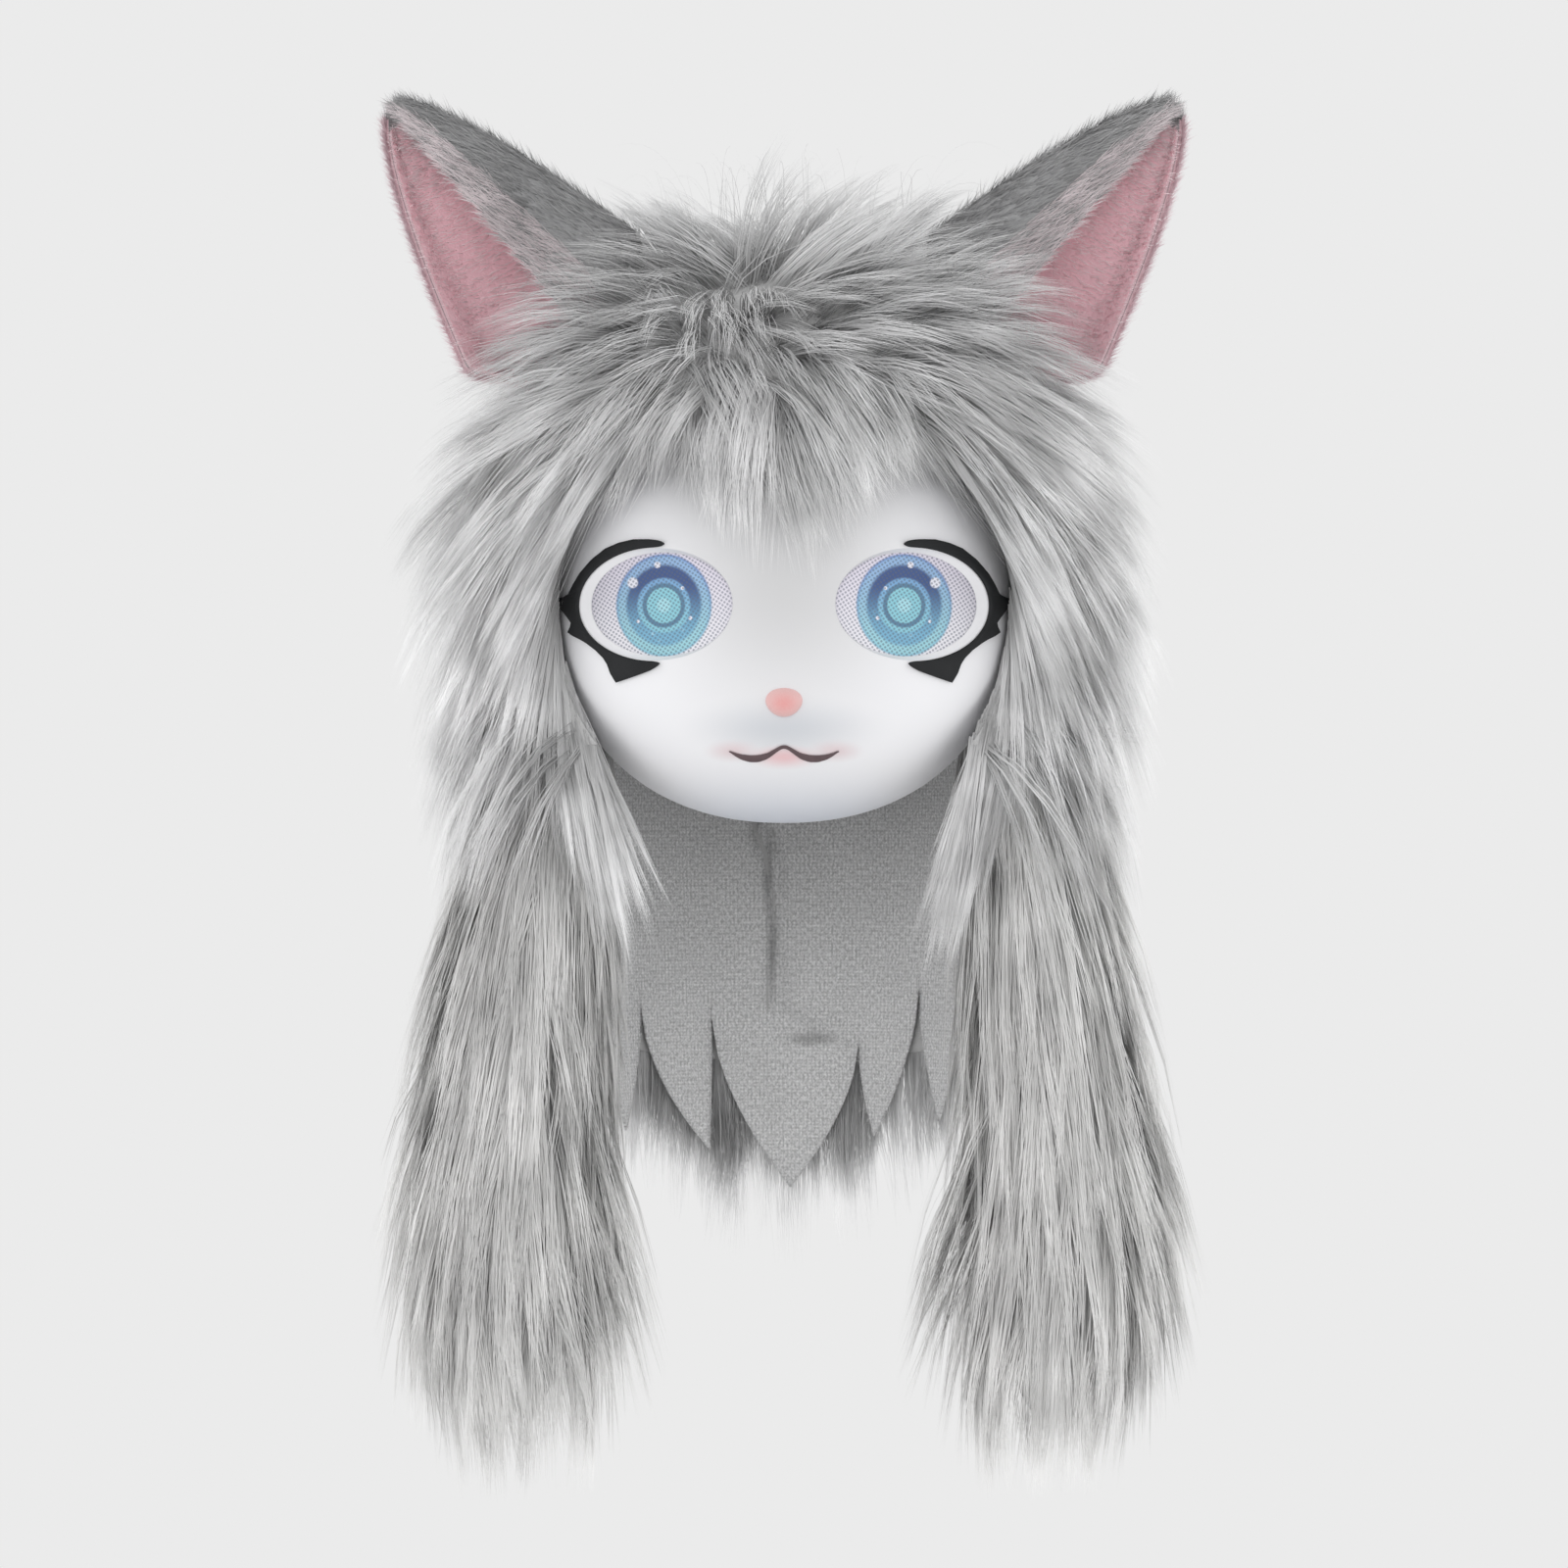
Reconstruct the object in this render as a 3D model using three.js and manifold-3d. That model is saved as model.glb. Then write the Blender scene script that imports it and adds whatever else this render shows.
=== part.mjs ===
// Fursuit head: a hard white cat face in a long-pile grey fur hood, with two cupped ears,
// two hanging tresses and a petal-cut jersey curtain with fur behind it over the nape.
// Millimetres, +Z up, the face looks along -Y and +X is the viewer's right.
// The origin is the inner crown of the hood, the point that sits on top of the wearer's head.

import * as THREE from 'three';
import Module from 'manifold-3d';
import { mergeVertices } from 'three/addons/utils/BufferGeometryUtils.js';

const wasm = await Module();
wasm.setup();

// Fits
const CLEARANCE = 0.35;

// Hood: a jersey cap, then a padded pelt round it
const HEAD_HALF_WIDTH = 110;
const HEAD_HALF_DEPTH = 108;
const CROWN_HEIGHT = 118;
const HEM_DROP = 117;
const HEM_TAPER = 0.05;
const JERSEY_WALL = 1.6;
const PAD_SIDE = 28;
const PAD_BACK = 26;
const PAD_TOP = 13;
const WIDEST_Z = -CROWN_HEIGHT;
const HEM_Z = WIDEST_Z - HEM_DROP;

// Face: a superellipse dish whose rim stands in the hood
const FACE_HALF_WIDTH = 117;
const FACE_UPPER_HEIGHT = 104;
const FACE_LOWER_HEIGHT = 112;
const FACE_DEPTH = 84;
const FACE_WALL = 3;
const FACE_SQUARENESS = 2.2;
const FACE_FULLNESS = 2.7;
const FACE_RIM_Y = -42;
const FACE_CENTRE_Z = WIDEST_Z - 45;
const MUZZLE_RISE = 7;
const MUZZLE_SPREAD = 34;
const MUZZLE_DROP = 66;
const EYE_HOLLOW = 4;
const EYE_HOLLOW_SPREAD = 30;

// Eyes and lashes
const EYE_SPACING = 64.5;
const EYE_RISE = -1.5;
const EYE_HALF_WIDTH = 38.5;
const EYE_HALF_HEIGHT = 28;
const EYE_PANEL_LAP = 6;
const EYE_PANEL_THICKNESS = 1.2;
const LASH_THICKNESS = 2;

// Nose and mouth
const NOSE_HALF_WIDTH = 9.2;
const NOSE_HALF_HEIGHT = 7.4;
const NOSE_HALF_THICKNESS = 5.5;
const NOSE_DROP = 51;
const MOUTH_DROP = 75.2;
const MOUTH_HALF_WIDTH = 27;
const MOUTH_DIP = 5;
const MOUTH_STROKE = 2.8;
const MOUTH_RELIEF = 0.9;

// Ears: C-shaped cups on a slanting axis, with their front lip folded over
const EAR_HEIGHT = 163;
const EAR_HALF_WIDTH = 66;
const EAR_LEAN = 39;
const EAR_SEAT_ANGLE = 43;
const EAR_SEAT_Y = 4;
const EAR_ROOT_DEPTH = 22;
const EAR_WALL = 3;
const EAR_LINING_WALL = 1.8;
const EAR_TAPER = 0.62;

// Fur of the hood
const HOOD_LOCKS = 68;
const HOOD_LOCK_RUN = 74;
const HOOD_LOCK_HALF_WIDTH = 20;
const HOOD_LOCK_HALF_THICKNESS = 9;
const SIDE_RISE = 48;
const TOP_RISE = 48;
const HOOD_LOCK_SINK = 6;
const HOOD_LOCK_SAG = 10;
const HOOD_LOCK_LEVELS = { highest: 0.99, lowest: -0.88 };
const HEM_LOCKS = 10;
const HEM_LOCK_LEVEL = -0.93;
const HEM_LOCK_HALF_ANGLE = 82;
const HEM_LOCK_RUN = 112;
const HEM_LOCK_RISE = 42;
const WHORL = new THREE.Vector3(-0.14, -0.62, 0.77);

// Tresses
const TRESS_LENGTH = 366;
const TRESS_HALF_WIDTH = 66;
const TRESS_HALF_DEPTH = 44;
const TRESS_SEAT_X = 117;
const TRESS_SEAT_Y = -26;
const TRESS_LOCKS = 19;
const TRESS_LOCK_RUN = 105;
const TRESS_LOCK_HALF_WIDTH = 17;
const TRESS_ROOM = 26;

// Neck curtain and the fur behind it
const CURTAIN_HALF_ANGLE = 68;
const CURTAIN_TAPER = 0.1;
const CURTAIN_LENGTH = 235;
const SLIT_SHARE = 0.62;
const PELT_WALL = 3;
const NAPE_PELT_LENGTH = 205;
const NAPE_LOCK_RUN = 78;
const NAPE_LOCK_RISE = 24;
const NAPE_LOCK_HALF_WIDTH = 19;
const NAPE_LOCK_HALF_THICKNESS = 6;

// Mesh fineness
const ROUND_STEPS = 22;
const FACE_STEPS = 30;
const FACE_ROWS = 5;
const LOCK_ROWS = 2;
const LOCK_SIDES = 3;

// A geometry whose vertices are moved by place(x, y, z), closed and facing out
function shaped(geometry, place) {
  const bare = geometry.clone();
  bare.deleteAttribute('normal');
  bare.deleteAttribute('uv');
  const positions = bare.attributes.position;
  for (let i = 0; i < positions.count; i += 1) {
    const moved = place(positions.getX(i), positions.getY(i), positions.getZ(i));
    positions.setXYZ(i, moved.x, moved.y, moved.z);
  }
  return mergeVertices(bare, 1e-3);
}

function signedVolume(vertices, triangles) {
  const corner = (k) => new THREE.Vector3().fromArray(vertices, 3 * triangles[k]);
  let volume = 0;
  for (let k = 0; k < triangles.length; k += 3) {
    volume += corner(k).dot(corner(k + 1).cross(corner(k + 2))) / 6;
  }
  return volume;
}

// The solid of a closed geometry, turned right side out
function solid(geometry) {
  const vertices = new Float32Array(geometry.attributes.position.array);
  const index = geometry.index.array;
  const triangles = [];
  for (let k = 0; k < index.length; k += 3) {
    const [a, b, c] = [index[k], index[k + 1], index[k + 2]];
    if (a !== b && b !== c && c !== a) {
      triangles.push(a, b, c);
    }
  }
  if (signedVolume(vertices, triangles) < 0) {
    triangles.reverse();
  }
  return new wasm.Manifold(new wasm.Mesh({
    numProp: 3,
    vertProperties: vertices,
    triVerts: new Uint32Array(triangles),
  }));
}

// The largest body of a solid: what a cut has severed falls away
function largestBody(cut) {
  const bodies = cut.decompose();
  return bodies.reduce((best, body) => (body.volume() > best.volume() ? body : best));
}

function fused(solids) {
  return solids.reduce((sum, next) => sum.add(next));
}

function geometryOf(body) {
  const mesh = body.getMesh();
  const geometry = new THREE.BufferGeometry();
  geometry.setAttribute('position', new THREE.BufferAttribute(mesh.vertProperties, 3));
  geometry.setIndex(new THREE.BufferAttribute(mesh.triVerts, 1));
  return geometry;
}

// A prism of a front-view outline between two depths
function prism(outline, frontY, backY) {
  const extruded = new THREE.ExtrudeGeometry(outline, { depth: 1, bevelEnabled: false, curveSegments: 8 });
  return solid(shaped(extruded, (x, y, z) => new THREE.Vector3(x, backY + (frontY - backY) * z, y)));
}

// Hood form: an ellipsoid above its widest level, a slightly tapered wall below it
function hoodProfile(bottom) {
  const profile = [];
  const rows = 6;
  for (let i = 0; i <= rows; i += 1) {
    const polar = (i / rows) * Math.PI / 2;
    profile.push(new THREE.Vector2(Math.sin(polar), Math.cos(polar)));
  }
  profile.push(new THREE.Vector2(1 - HEM_TAPER * 0.3, -0.55));
  profile.push(new THREE.Vector2(1 - HEM_TAPER, -1));
  if (bottom > 1) {
    profile.push(new THREE.Vector2(1 - HEM_TAPER, -bottom));
  }
  profile.push(new THREE.Vector2(0, -bottom));
  profile[0].x = 0;
  return profile;
}

function hoodPlace(x, y, z, grow) {
  const height = y >= 0 ? y * (CROWN_HEIGHT + grow.top) : y * HEM_DROP;
  return new THREE.Vector3(
    x * (HEAD_HALF_WIDTH + grow.side),
    z * (HEAD_HALF_DEPTH + grow.back),
    WIDEST_Z + height,
  );
}

function hoodForm(grow, bottom = 1) {
  const lathe = new THREE.LatheGeometry(hoodProfile(bottom), ROUND_STEPS);
  return solid(shaped(lathe, (x, y, z) => hoodPlace(x, y, z, grow)));
}

const JERSEY = { side: JERSEY_WALL, back: JERSEY_WALL, top: JERSEY_WALL };
const PELT = {
  side: JERSEY_WALL + CLEARANCE + PAD_SIDE,
  back: JERSEY_WALL + CLEARANCE + PAD_BACK,
  top: JERSEY_WALL + CLEARANCE + PAD_TOP,
};

function grown(grow, by) {
  return { side: grow.side + by, back: grow.back + by, top: grow.top + by };
}

// Face form: a point at a slope from the middle of the face and an angle round it
function facePoint(slope, angle) {
  const reach = Math.sin(slope);
  const across = Math.cos(angle);
  const up = Math.sin(angle);
  const power = 2 / FACE_SQUARENESS;
  const height = up > 0 ? FACE_UPPER_HEIGHT : FACE_LOWER_HEIGHT;
  const x = reach * FACE_HALF_WIDTH * Math.sign(across) * Math.abs(across) ** power;
  const z = reach * height * Math.sign(up) * Math.abs(up) ** power;
  const crown = Math.sqrt(Math.max(0, 1 - reach ** FACE_FULLNESS));
  const fade = 1 - reach ** 4;
  const muzzle = Math.exp(-((x / MUZZLE_SPREAD) ** 2) - ((z + MUZZLE_DROP) / MUZZLE_SPREAD) ** 2);
  const socket = Math.exp(-(((Math.abs(x) - EYE_SPACING) / EYE_HOLLOW_SPREAD) ** 2)
    - ((z - EYE_RISE) / EYE_HOLLOW_SPREAD) ** 2);
  const relief = fade * (EYE_HOLLOW * socket - MUZZLE_RISE * muzzle);
  return new THREE.Vector3(x, FACE_RIM_Y - FACE_DEPTH * crown + relief, FACE_CENTRE_Z + z);
}

function faceNormal(slope, angle) {
  const step = 0.02;
  const along = facePoint(slope + step, angle).sub(facePoint(slope - step, angle));
  const round = facePoint(slope, angle + step).sub(facePoint(slope, angle - step));
  return along.cross(round).normalize();
}

// The face as a filled dish, offset out or in, that runs back past its rim by backRun
function faceForm(offset, backRun) {
  const profile = [];
  for (let i = 0; i <= FACE_ROWS; i += 1) {
    const slope = (i / FACE_ROWS) * Math.PI / 2;
    profile.push(new THREE.Vector2(i === 0 ? 0 : Math.sin(slope), Math.cos(slope)));
  }
  profile.push(new THREE.Vector2(1, -1));
  profile.push(new THREE.Vector2(0, -1));
  const lathe = new THREE.LatheGeometry(profile, FACE_STEPS);
  return solid(shaped(lathe, (x, y, z) => {
    const reach = Math.hypot(x, z);
    const angle = Math.atan2(z, x);
    if (y < -0.5 && reach < 0.5) {
      return new THREE.Vector3(0, FACE_RIM_Y + backRun, FACE_CENTRE_Z);
    }
    const slope = Math.min(Math.atan2(reach, Math.max(y, 0)), Math.PI / 2);
    if (slope < 1e-4) {
      return facePoint(0, 0).add(new THREE.Vector3(0, -offset, 0));
    }
    const flat = new THREE.Vector3(x, 0, z).normalize();
    const rim = slope > Math.PI / 2 - 1e-4;
    const normal = rim ? rimNormal(angle, flat) : faceNormal(slope, angle);
    const point = facePoint(slope, angle).addScaledVector(normal, offset);
    if (y < -0.5) {
      point.y = FACE_RIM_Y + backRun;
    }
    return point;
  }));
}

// At the rim the dish stands straight back, so its normal lies in the front plane
function rimNormal(angle, flat) {
  const step = 0.02;
  const round = facePoint(Math.PI / 2, angle + step).sub(facePoint(Math.PI / 2, angle - step));
  const normal = new THREE.Vector3(round.z, 0, -round.x).normalize();
  return normal.dot(flat) < 0 ? normal.negate() : normal;
}

const FRONT_Y = FACE_RIM_Y - 2 * FACE_DEPTH;

// The window that the face leaves in the hood, as a superellipse outline
function windowOutline(margin) {
  const points = [];
  for (let i = 0; i < FACE_STEPS; i += 1) {
    const angle = (i / FACE_STEPS) * 2 * Math.PI;
    const rim = facePoint(Math.PI / 2, angle);
    const normal = rimNormal(angle, new THREE.Vector3(Math.cos(angle), 0, Math.sin(angle)));
    points.push(new THREE.Vector2(rim.x + margin * normal.x, rim.z + margin * normal.z));
  }
  return new THREE.Shape(points);
}

function eyeOutline(side, margin) {
  const outline = new THREE.Shape();
  outline.absellipse(
    side * EYE_SPACING,
    FACE_CENTRE_Z + EYE_RISE,
    EYE_HALF_WIDTH + margin,
    EYE_HALF_HEIGHT + margin,
    0,
    2 * Math.PI,
  );
  return outline;
}

// Hard face: a 3 mm shell, open at the back, with both eye openings cut through
function faceShell() {
  const shell = faceForm(0, 0).subtract(faceForm(-FACE_WALL, 10));
  const eyes = prism(eyeOutline(-1, 0), FRONT_Y, FACE_RIM_Y).add(prism(eyeOutline(1, 0), FRONT_Y, FACE_RIM_Y));
  return shell.subtract(eyes);
}

// Printed mesh glued to the back of the shell, lapping the opening all round
function eyePanel(side) {
  const front = -(FACE_WALL + CLEARANCE);
  const layer = faceForm(front, 0).subtract(faceForm(front - EYE_PANEL_THICKNESS, 10));
  const reach = prism(eyeOutline(side, EYE_PANEL_LAP), FRONT_Y, FACE_RIM_Y - 4);
  return largestBody(layer.intersect(reach));
}

// Lash outline, as shares of the eye's half width and half height from its centre:
// an upper band, the outer corner, a barb and a lower fang, and the eye's own curve inside
const LASH_BAND = { outer: 1.11, inner: 1.01, top: 84, corner: 166, bottom: 268 };
const LASH_POINTS = [
  { name: 'corner', out: 1.33, up: 0.12 },
  { name: 'below corner', out: 1.1, up: -0.36 },
  { name: 'barb', out: 1.16, up: -0.47 },
  { name: 'under barb', out: 0.95, up: -0.62 },
  { name: 'fang side', out: 0.7, up: -0.93 },
  { name: 'fang tip', out: 0.53, up: -1.4 },
  { name: 'fang heel', out: 0.26, up: -1.29 },
  { name: 'lower end', out: -0.06, up: -1.1 },
];

function lashOutline(side) {
  const radians = Math.PI / 180;
  const place = (out, up) => new THREE.Vector2(
    side * (EYE_SPACING + out * EYE_HALF_WIDTH),
    FACE_CENTRE_Z + EYE_RISE + up * EYE_HALF_HEIGHT,
  );
  const arc = (from, to, size, steps) => {
    const points = [];
    for (let i = 0; i <= steps; i += 1) {
      const angle = (from + (to - from) * (i / steps)) * radians;
      points.push(place(-size * Math.cos(angle), size * Math.sin(angle)));
    }
    return points;
  };
  const upper = arc(LASH_BAND.top, LASH_BAND.corner, LASH_BAND.outer, 7);
  const corners = LASH_POINTS.map((point) => place(point.out, point.up));
  const inner = arc(LASH_BAND.bottom, LASH_BAND.top + 8, LASH_BAND.inner, 16);
  return new THREE.Shape([...upper, ...corners, ...inner]);
}

// Black foam lash, cut from sheet and glued on the face round the eye's outer side
function lash(side) {
  const layer = faceForm(CLEARANCE + LASH_THICKNESS, 0).subtract(faceForm(CLEARANCE, 10));
  return largestBody(layer.intersect(prism(lashOutline(side), FRONT_Y, FACE_RIM_Y - 2)));
}

// Where a height on the face's middle line meets its surface
function faceFront(drop) {
  let low = 0;
  let high = Math.PI / 2;
  for (let i = 0; i < 40; i += 1) {
    const middle = (low + high) / 2;
    if (FACE_CENTRE_Z - facePoint(middle, -Math.PI / 2).z < drop) {
      low = middle;
    } else {
      high = middle;
    }
  }
  return facePoint(low, -Math.PI / 2);
}

// Flocked nose button, glued on the muzzle
function nose() {
  const seat = faceFront(NOSE_DROP);
  const ball = shaped(new THREE.SphereGeometry(1, 12, 8), (x, y, z) => new THREE.Vector3(
    x * NOSE_HALF_WIDTH,
    seat.y + z * NOSE_HALF_THICKNESS,
    seat.z + y * NOSE_HALF_HEIGHT,
  ));
  return largestBody(solid(ball).subtract(faceForm(CLEARANCE, 10)));
}

// Mouth: a thin dark line of two shallow arcs that meet in a point under the nose
function mouthHeight(share) {
  const dip = Math.sin(Math.PI * Math.min(1, Math.abs(share)) ** 0.85) ** 1.2;
  return FACE_CENTRE_Z - MOUTH_DROP - MOUTH_DIP * dip - 0.25 * MOUTH_DIP * Math.abs(share);
}

function mouthLine() {
  const steps = 10;
  const upper = [];
  const lower = [];
  for (let i = 0; i <= steps; i += 1) {
    const share = -1 + 2 * (i / steps);
    const half = (MOUTH_STROKE / 2) * (0.25 + 0.75 * Math.sqrt(Math.max(0, 1 - share * share)));
    upper.push(new THREE.Vector2(share * MOUTH_HALF_WIDTH, mouthHeight(share) + half));
    lower.unshift(new THREE.Vector2(share * MOUTH_HALF_WIDTH, mouthHeight(share) - half));
  }
  const stroke = prism(new THREE.Shape([...upper, ...lower]), FRONT_Y, FACE_RIM_Y);
  const layer = faceForm(CLEARANCE + MOUTH_RELIEF, 0).subtract(faceForm(CLEARANCE, 10));
  return largestBody(layer.intersect(stroke));
}

// Ear section, from the outer rim round the back to the folded front lip, in half widths
const EAR_SECTION = new THREE.CatmullRomCurve3([
  { across: -1, front: 0.12 },
  { across: -0.68, front: -0.34 },
  { across: 0.02, front: -0.58 },
  { across: 0.7, front: -0.42 },
  { across: 0.99, front: -0.02 },
  { across: 0.62, front: 0.27 },
  { across: 0.04, front: 0.36 },
].map((point) => new THREE.Vector3(point.across, point.front, 0)));

// Ears narrow along a power curve to the tip, and draw in again where they stand in the fur
function earHalfWidth(share) {
  const tip = Math.max(0, 1 - share) ** EAR_TAPER;
  const waist = 0.6 + 0.4 * THREE.MathUtils.smoothstep(share, 0, 0.2);
  return EAR_HALF_WIDTH * tip * waist;
}

function earPlace(side, across, front, height) {
  const lean = EAR_LEAN * Math.PI / 180;
  const seat = EAR_SEAT_ANGLE * Math.PI / 180;
  const seatX = (HEAD_HALF_WIDTH + PELT.side) * Math.cos(seat);
  const seatZ = WIDEST_Z + (CROWN_HEIGHT + PELT.top) * Math.sin(seat);
  return new THREE.Vector3(
    side * (seatX + height * Math.sin(lean) - across * Math.cos(lean)),
    EAR_SEAT_Y - front,
    seatZ + height * Math.cos(lean) + across * Math.sin(lean),
  );
}

// Rows of an ear lie closer together toward its tip
const EAR_STEPS = 10;
const EAR_ROWS = 5;
const EAR_TIP_SHARE = 0.965;

function earShare(y) {
  const low = -EAR_ROOT_DEPTH / EAR_HEIGHT;
  return low + (EAR_TIP_SHARE - low) * (1 - (0.5 - y) ** 1.3);
}

// A point of the ear's section, a depth inside its outer face
function earSectionPoint(round, half, depth) {
  const point = EAR_SECTION.getPoint(round);
  const tangent = EAR_SECTION.getTangent(round);
  return new THREE.Vector2(half * point.x - depth * tangent.y, half * point.y + depth * tangent.x);
}

// A cup layer between two depths inside the ear's outer face, from its root up some rows
function earLayer(side, front, back, rows) {
  const box = new THREE.BoxGeometry(1, 1, 1, EAR_STEPS, rows, 1);
  return solid(shaped(box, (x, y, z) => {
    const share = earShare(-0.5 + (y + 0.5) * (rows / EAR_ROWS));
    const point = earSectionPoint(x + 0.5, earHalfWidth(share), z > 0 ? front : back);
    return earPlace(side, point.x, point.y, share * EAR_HEIGHT);
  }));
}

// A point past the section's end, clear of its edge on the outer side and along the curve
function earEdgePoint(round, half, margin) {
  const tangent = EAR_SECTION.getTangent(round);
  const past = round > 0.5 ? margin : -margin;
  const edge = earSectionPoint(round, half, -margin);
  return edge.add(new THREE.Vector2(tangent.x * past, tangent.y * past));
}

// The ear's whole outer form, closed across its mouth and grown by a margin
function earEnvelope(side, margin) {
  const mouthSteps = 4;
  const sides = EAR_STEPS + mouthSteps;
  const cylinder = new THREE.CylinderGeometry(1, 1, 1, sides, EAR_ROWS);
  return solid(shaped(cylinder, (x, y, z) => {
    const share = earShare(y);
    const half = earHalfWidth(share);
    const step = Math.round((Math.atan2(x, z) / (2 * Math.PI) + 1) * sides) % sides;
    const lip = earEdgePoint(1, half, margin);
    const rim = earEdgePoint(0, half, margin);
    const point = step > 0 && step < EAR_STEPS
      ? earSectionPoint(step / EAR_STEPS, half, -margin)
      : lip.lerp(rim, step > 0 ? (step - EAR_STEPS) / mouthSteps : 1);
    if (Math.hypot(x, z) < 0.5) {
      point.set(0, -0.1 * half);
    }
    const tip = share > EAR_TIP_SHARE - 1e-6 ? margin : 0;
    return earPlace(side, point.x, point.y, share * EAR_HEIGHT + tip);
  }));
}

function ear(side) {
  const cup = earLayer(side, 0, EAR_WALL, EAR_ROWS);
  return largestBody(cup.subtract(hoodForm(grown(PELT, CLEARANCE))));
}

function earLining(side) {
  const seat = EAR_WALL + CLEARANCE;
  const layer = earLayer(side, seat + EAR_LINING_WALL, seat, EAR_ROWS - 1);
  return largestBody(layer.subtract(hoodForm(grown(PELT, CLEARANCE))));
}

// A lock of fur: a three-sided cone laid along a curve, wide across the pelt and thin off it
function lock(path, across, halfWidth, halfThickness) {
  const cone = new THREE.ConeGeometry(1, 1, LOCK_SIDES, LOCK_ROWS);
  return solid(shaped(cone, (x, y, z) => {
    const share = Math.min(1, Math.max(0, y + 0.5));
    const point = path.getPoint(share);
    if (share > 0.999) {
      return point;
    }
    const tangent = path.getTangent(share);
    const off = tangent.clone().cross(across).normalize();
    const reach = Math.hypot(x, z) < 1e-6 ? 0 : Math.sqrt(1 - share) / Math.hypot(x, z);
    return point
      .addScaledVector(across, x * reach * halfWidth)
      .addScaledVector(off, z * reach * halfThickness);
  }));
}

// The path of a lock: it lifts off the pelt, then runs along it and sags at its tip
function lockPath(root, out, along, rise, run, sag) {
  const knee = root.clone().addScaledVector(out, 0.75 * rise).addScaledVector(along, 0.3 * run);
  const tip = root.clone().addScaledVector(out, rise).addScaledVector(along, run);
  tip.z -= sag;
  return new THREE.QuadraticBezierCurve3(root, knee, tip);
}

// A steady scatter between -1 and 1 for the copy's number
function scatter(number, seed) {
  const turns = Math.sin(number * 12.9898 + seed * 78.233) * 437.585;
  return 2 * (turns - Math.floor(turns)) - 1;
}

function hoodRoot(direction, sink) {
  const grow = grown(PELT, -sink);
  return hoodPlace(direction.x, direction.z, direction.y, grow);
}

function hoodNormal(direction) {
  return new THREE.Vector3(
    direction.x / (HEAD_HALF_WIDTH + PELT.side),
    direction.y / (HEAD_HALF_DEPTH + PELT.back),
    Math.max(0, direction.z) / (CROWN_HEIGHT + PELT.top),
  ).normalize();
}

// Fur is combed away from the whorl above the brow, and falls lower down
function combed(direction, normal) {
  const away = direction.clone().sub(WHORL);
  const fall = new THREE.Vector3(0, 0, -0.35 - 0.5 * Math.max(0, -direction.z));
  return away.add(fall).projectOnPlane(normal).normalize();
}

function hoodLocks() {
  const locks = [];
  const golden = Math.PI * (3 - Math.sqrt(5));
  for (let i = 0; i < HOOD_LOCKS; i += 1) {
    const down = (i + 0.5) / HOOD_LOCKS;
    const level = THREE.MathUtils.lerp(HOOD_LOCK_LEVELS.highest, HOOD_LOCK_LEVELS.lowest, down);
    const turn = i * golden;
    const flat = level > 0 ? Math.sqrt(1 - level * level) : 1 + HEM_TAPER * level;
    const direction = new THREE.Vector3(flat * Math.cos(turn), flat * Math.sin(turn), level);
    const root = hoodRoot(direction, HOOD_LOCK_SINK);
    if (insideWindow(root, 4) && root.y < 0) {
      continue;
    }
    const normal = hoodNormal(direction);
    const along = combed(direction, normal);
    const top = Math.max(0, normal.z) ** 1.5;
    const rise = THREE.MathUtils.lerp(SIDE_RISE, TOP_RISE, top) * (1 + 0.12 * scatter(i, 1));
    const run = HOOD_LOCK_RUN * (1 + 0.18 * scatter(i, 2));
    const path = lockPath(root, normal, along, rise + HOOD_LOCK_SINK, run, HOOD_LOCK_SAG);
    const across = along.clone().cross(normal).normalize();
    locks.push(lock(path, across, HOOD_LOCK_HALF_WIDTH, HOOD_LOCK_HALF_THICKNESS));
  }
  return locks;
}

// The lowest locks, in a row round the back: they fall past the hem over the nape
function hemLocks() {
  const locks = [];
  for (let i = 0; i < HEM_LOCKS; i += 1) {
    const share = -1 + 2 * (i / (HEM_LOCKS - 1));
    const turn = Math.PI / 2 + share * HEM_LOCK_HALF_ANGLE * Math.PI / 180;
    const flat = 1 + HEM_TAPER * HEM_LOCK_LEVEL;
    const direction = new THREE.Vector3(flat * Math.cos(turn), flat * Math.sin(turn), HEM_LOCK_LEVEL);
    const normal = hoodNormal(direction);
    const rise = HEM_LOCK_RISE * (1 + 0.15 * scatter(i, 7));
    const run = HEM_LOCK_RUN * (1 + 0.1 * scatter(i, 8));
    const fall = new THREE.Vector3(0, 0, -1);
    const path = lockPath(hoodRoot(direction, HOOD_LOCK_SINK), normal, fall, rise, run, 0);
    const across = fall.clone().cross(normal).normalize();
    locks.push(lock(path, across, 1.15 * HOOD_LOCK_HALF_WIDTH, HOOD_LOCK_HALF_THICKNESS));
  }
  return locks;
}

function insideWindow(point, margin) {
  const height = point.z > FACE_CENTRE_Z ? FACE_UPPER_HEIGHT : FACE_LOWER_HEIGHT;
  const across = Math.abs(point.x) / (FACE_HALF_WIDTH + margin);
  const up = Math.abs(point.z - FACE_CENTRE_Z) / (height + margin);
  return across ** FACE_SQUARENESS + up ** FACE_SQUARENESS < 1;
}

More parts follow.
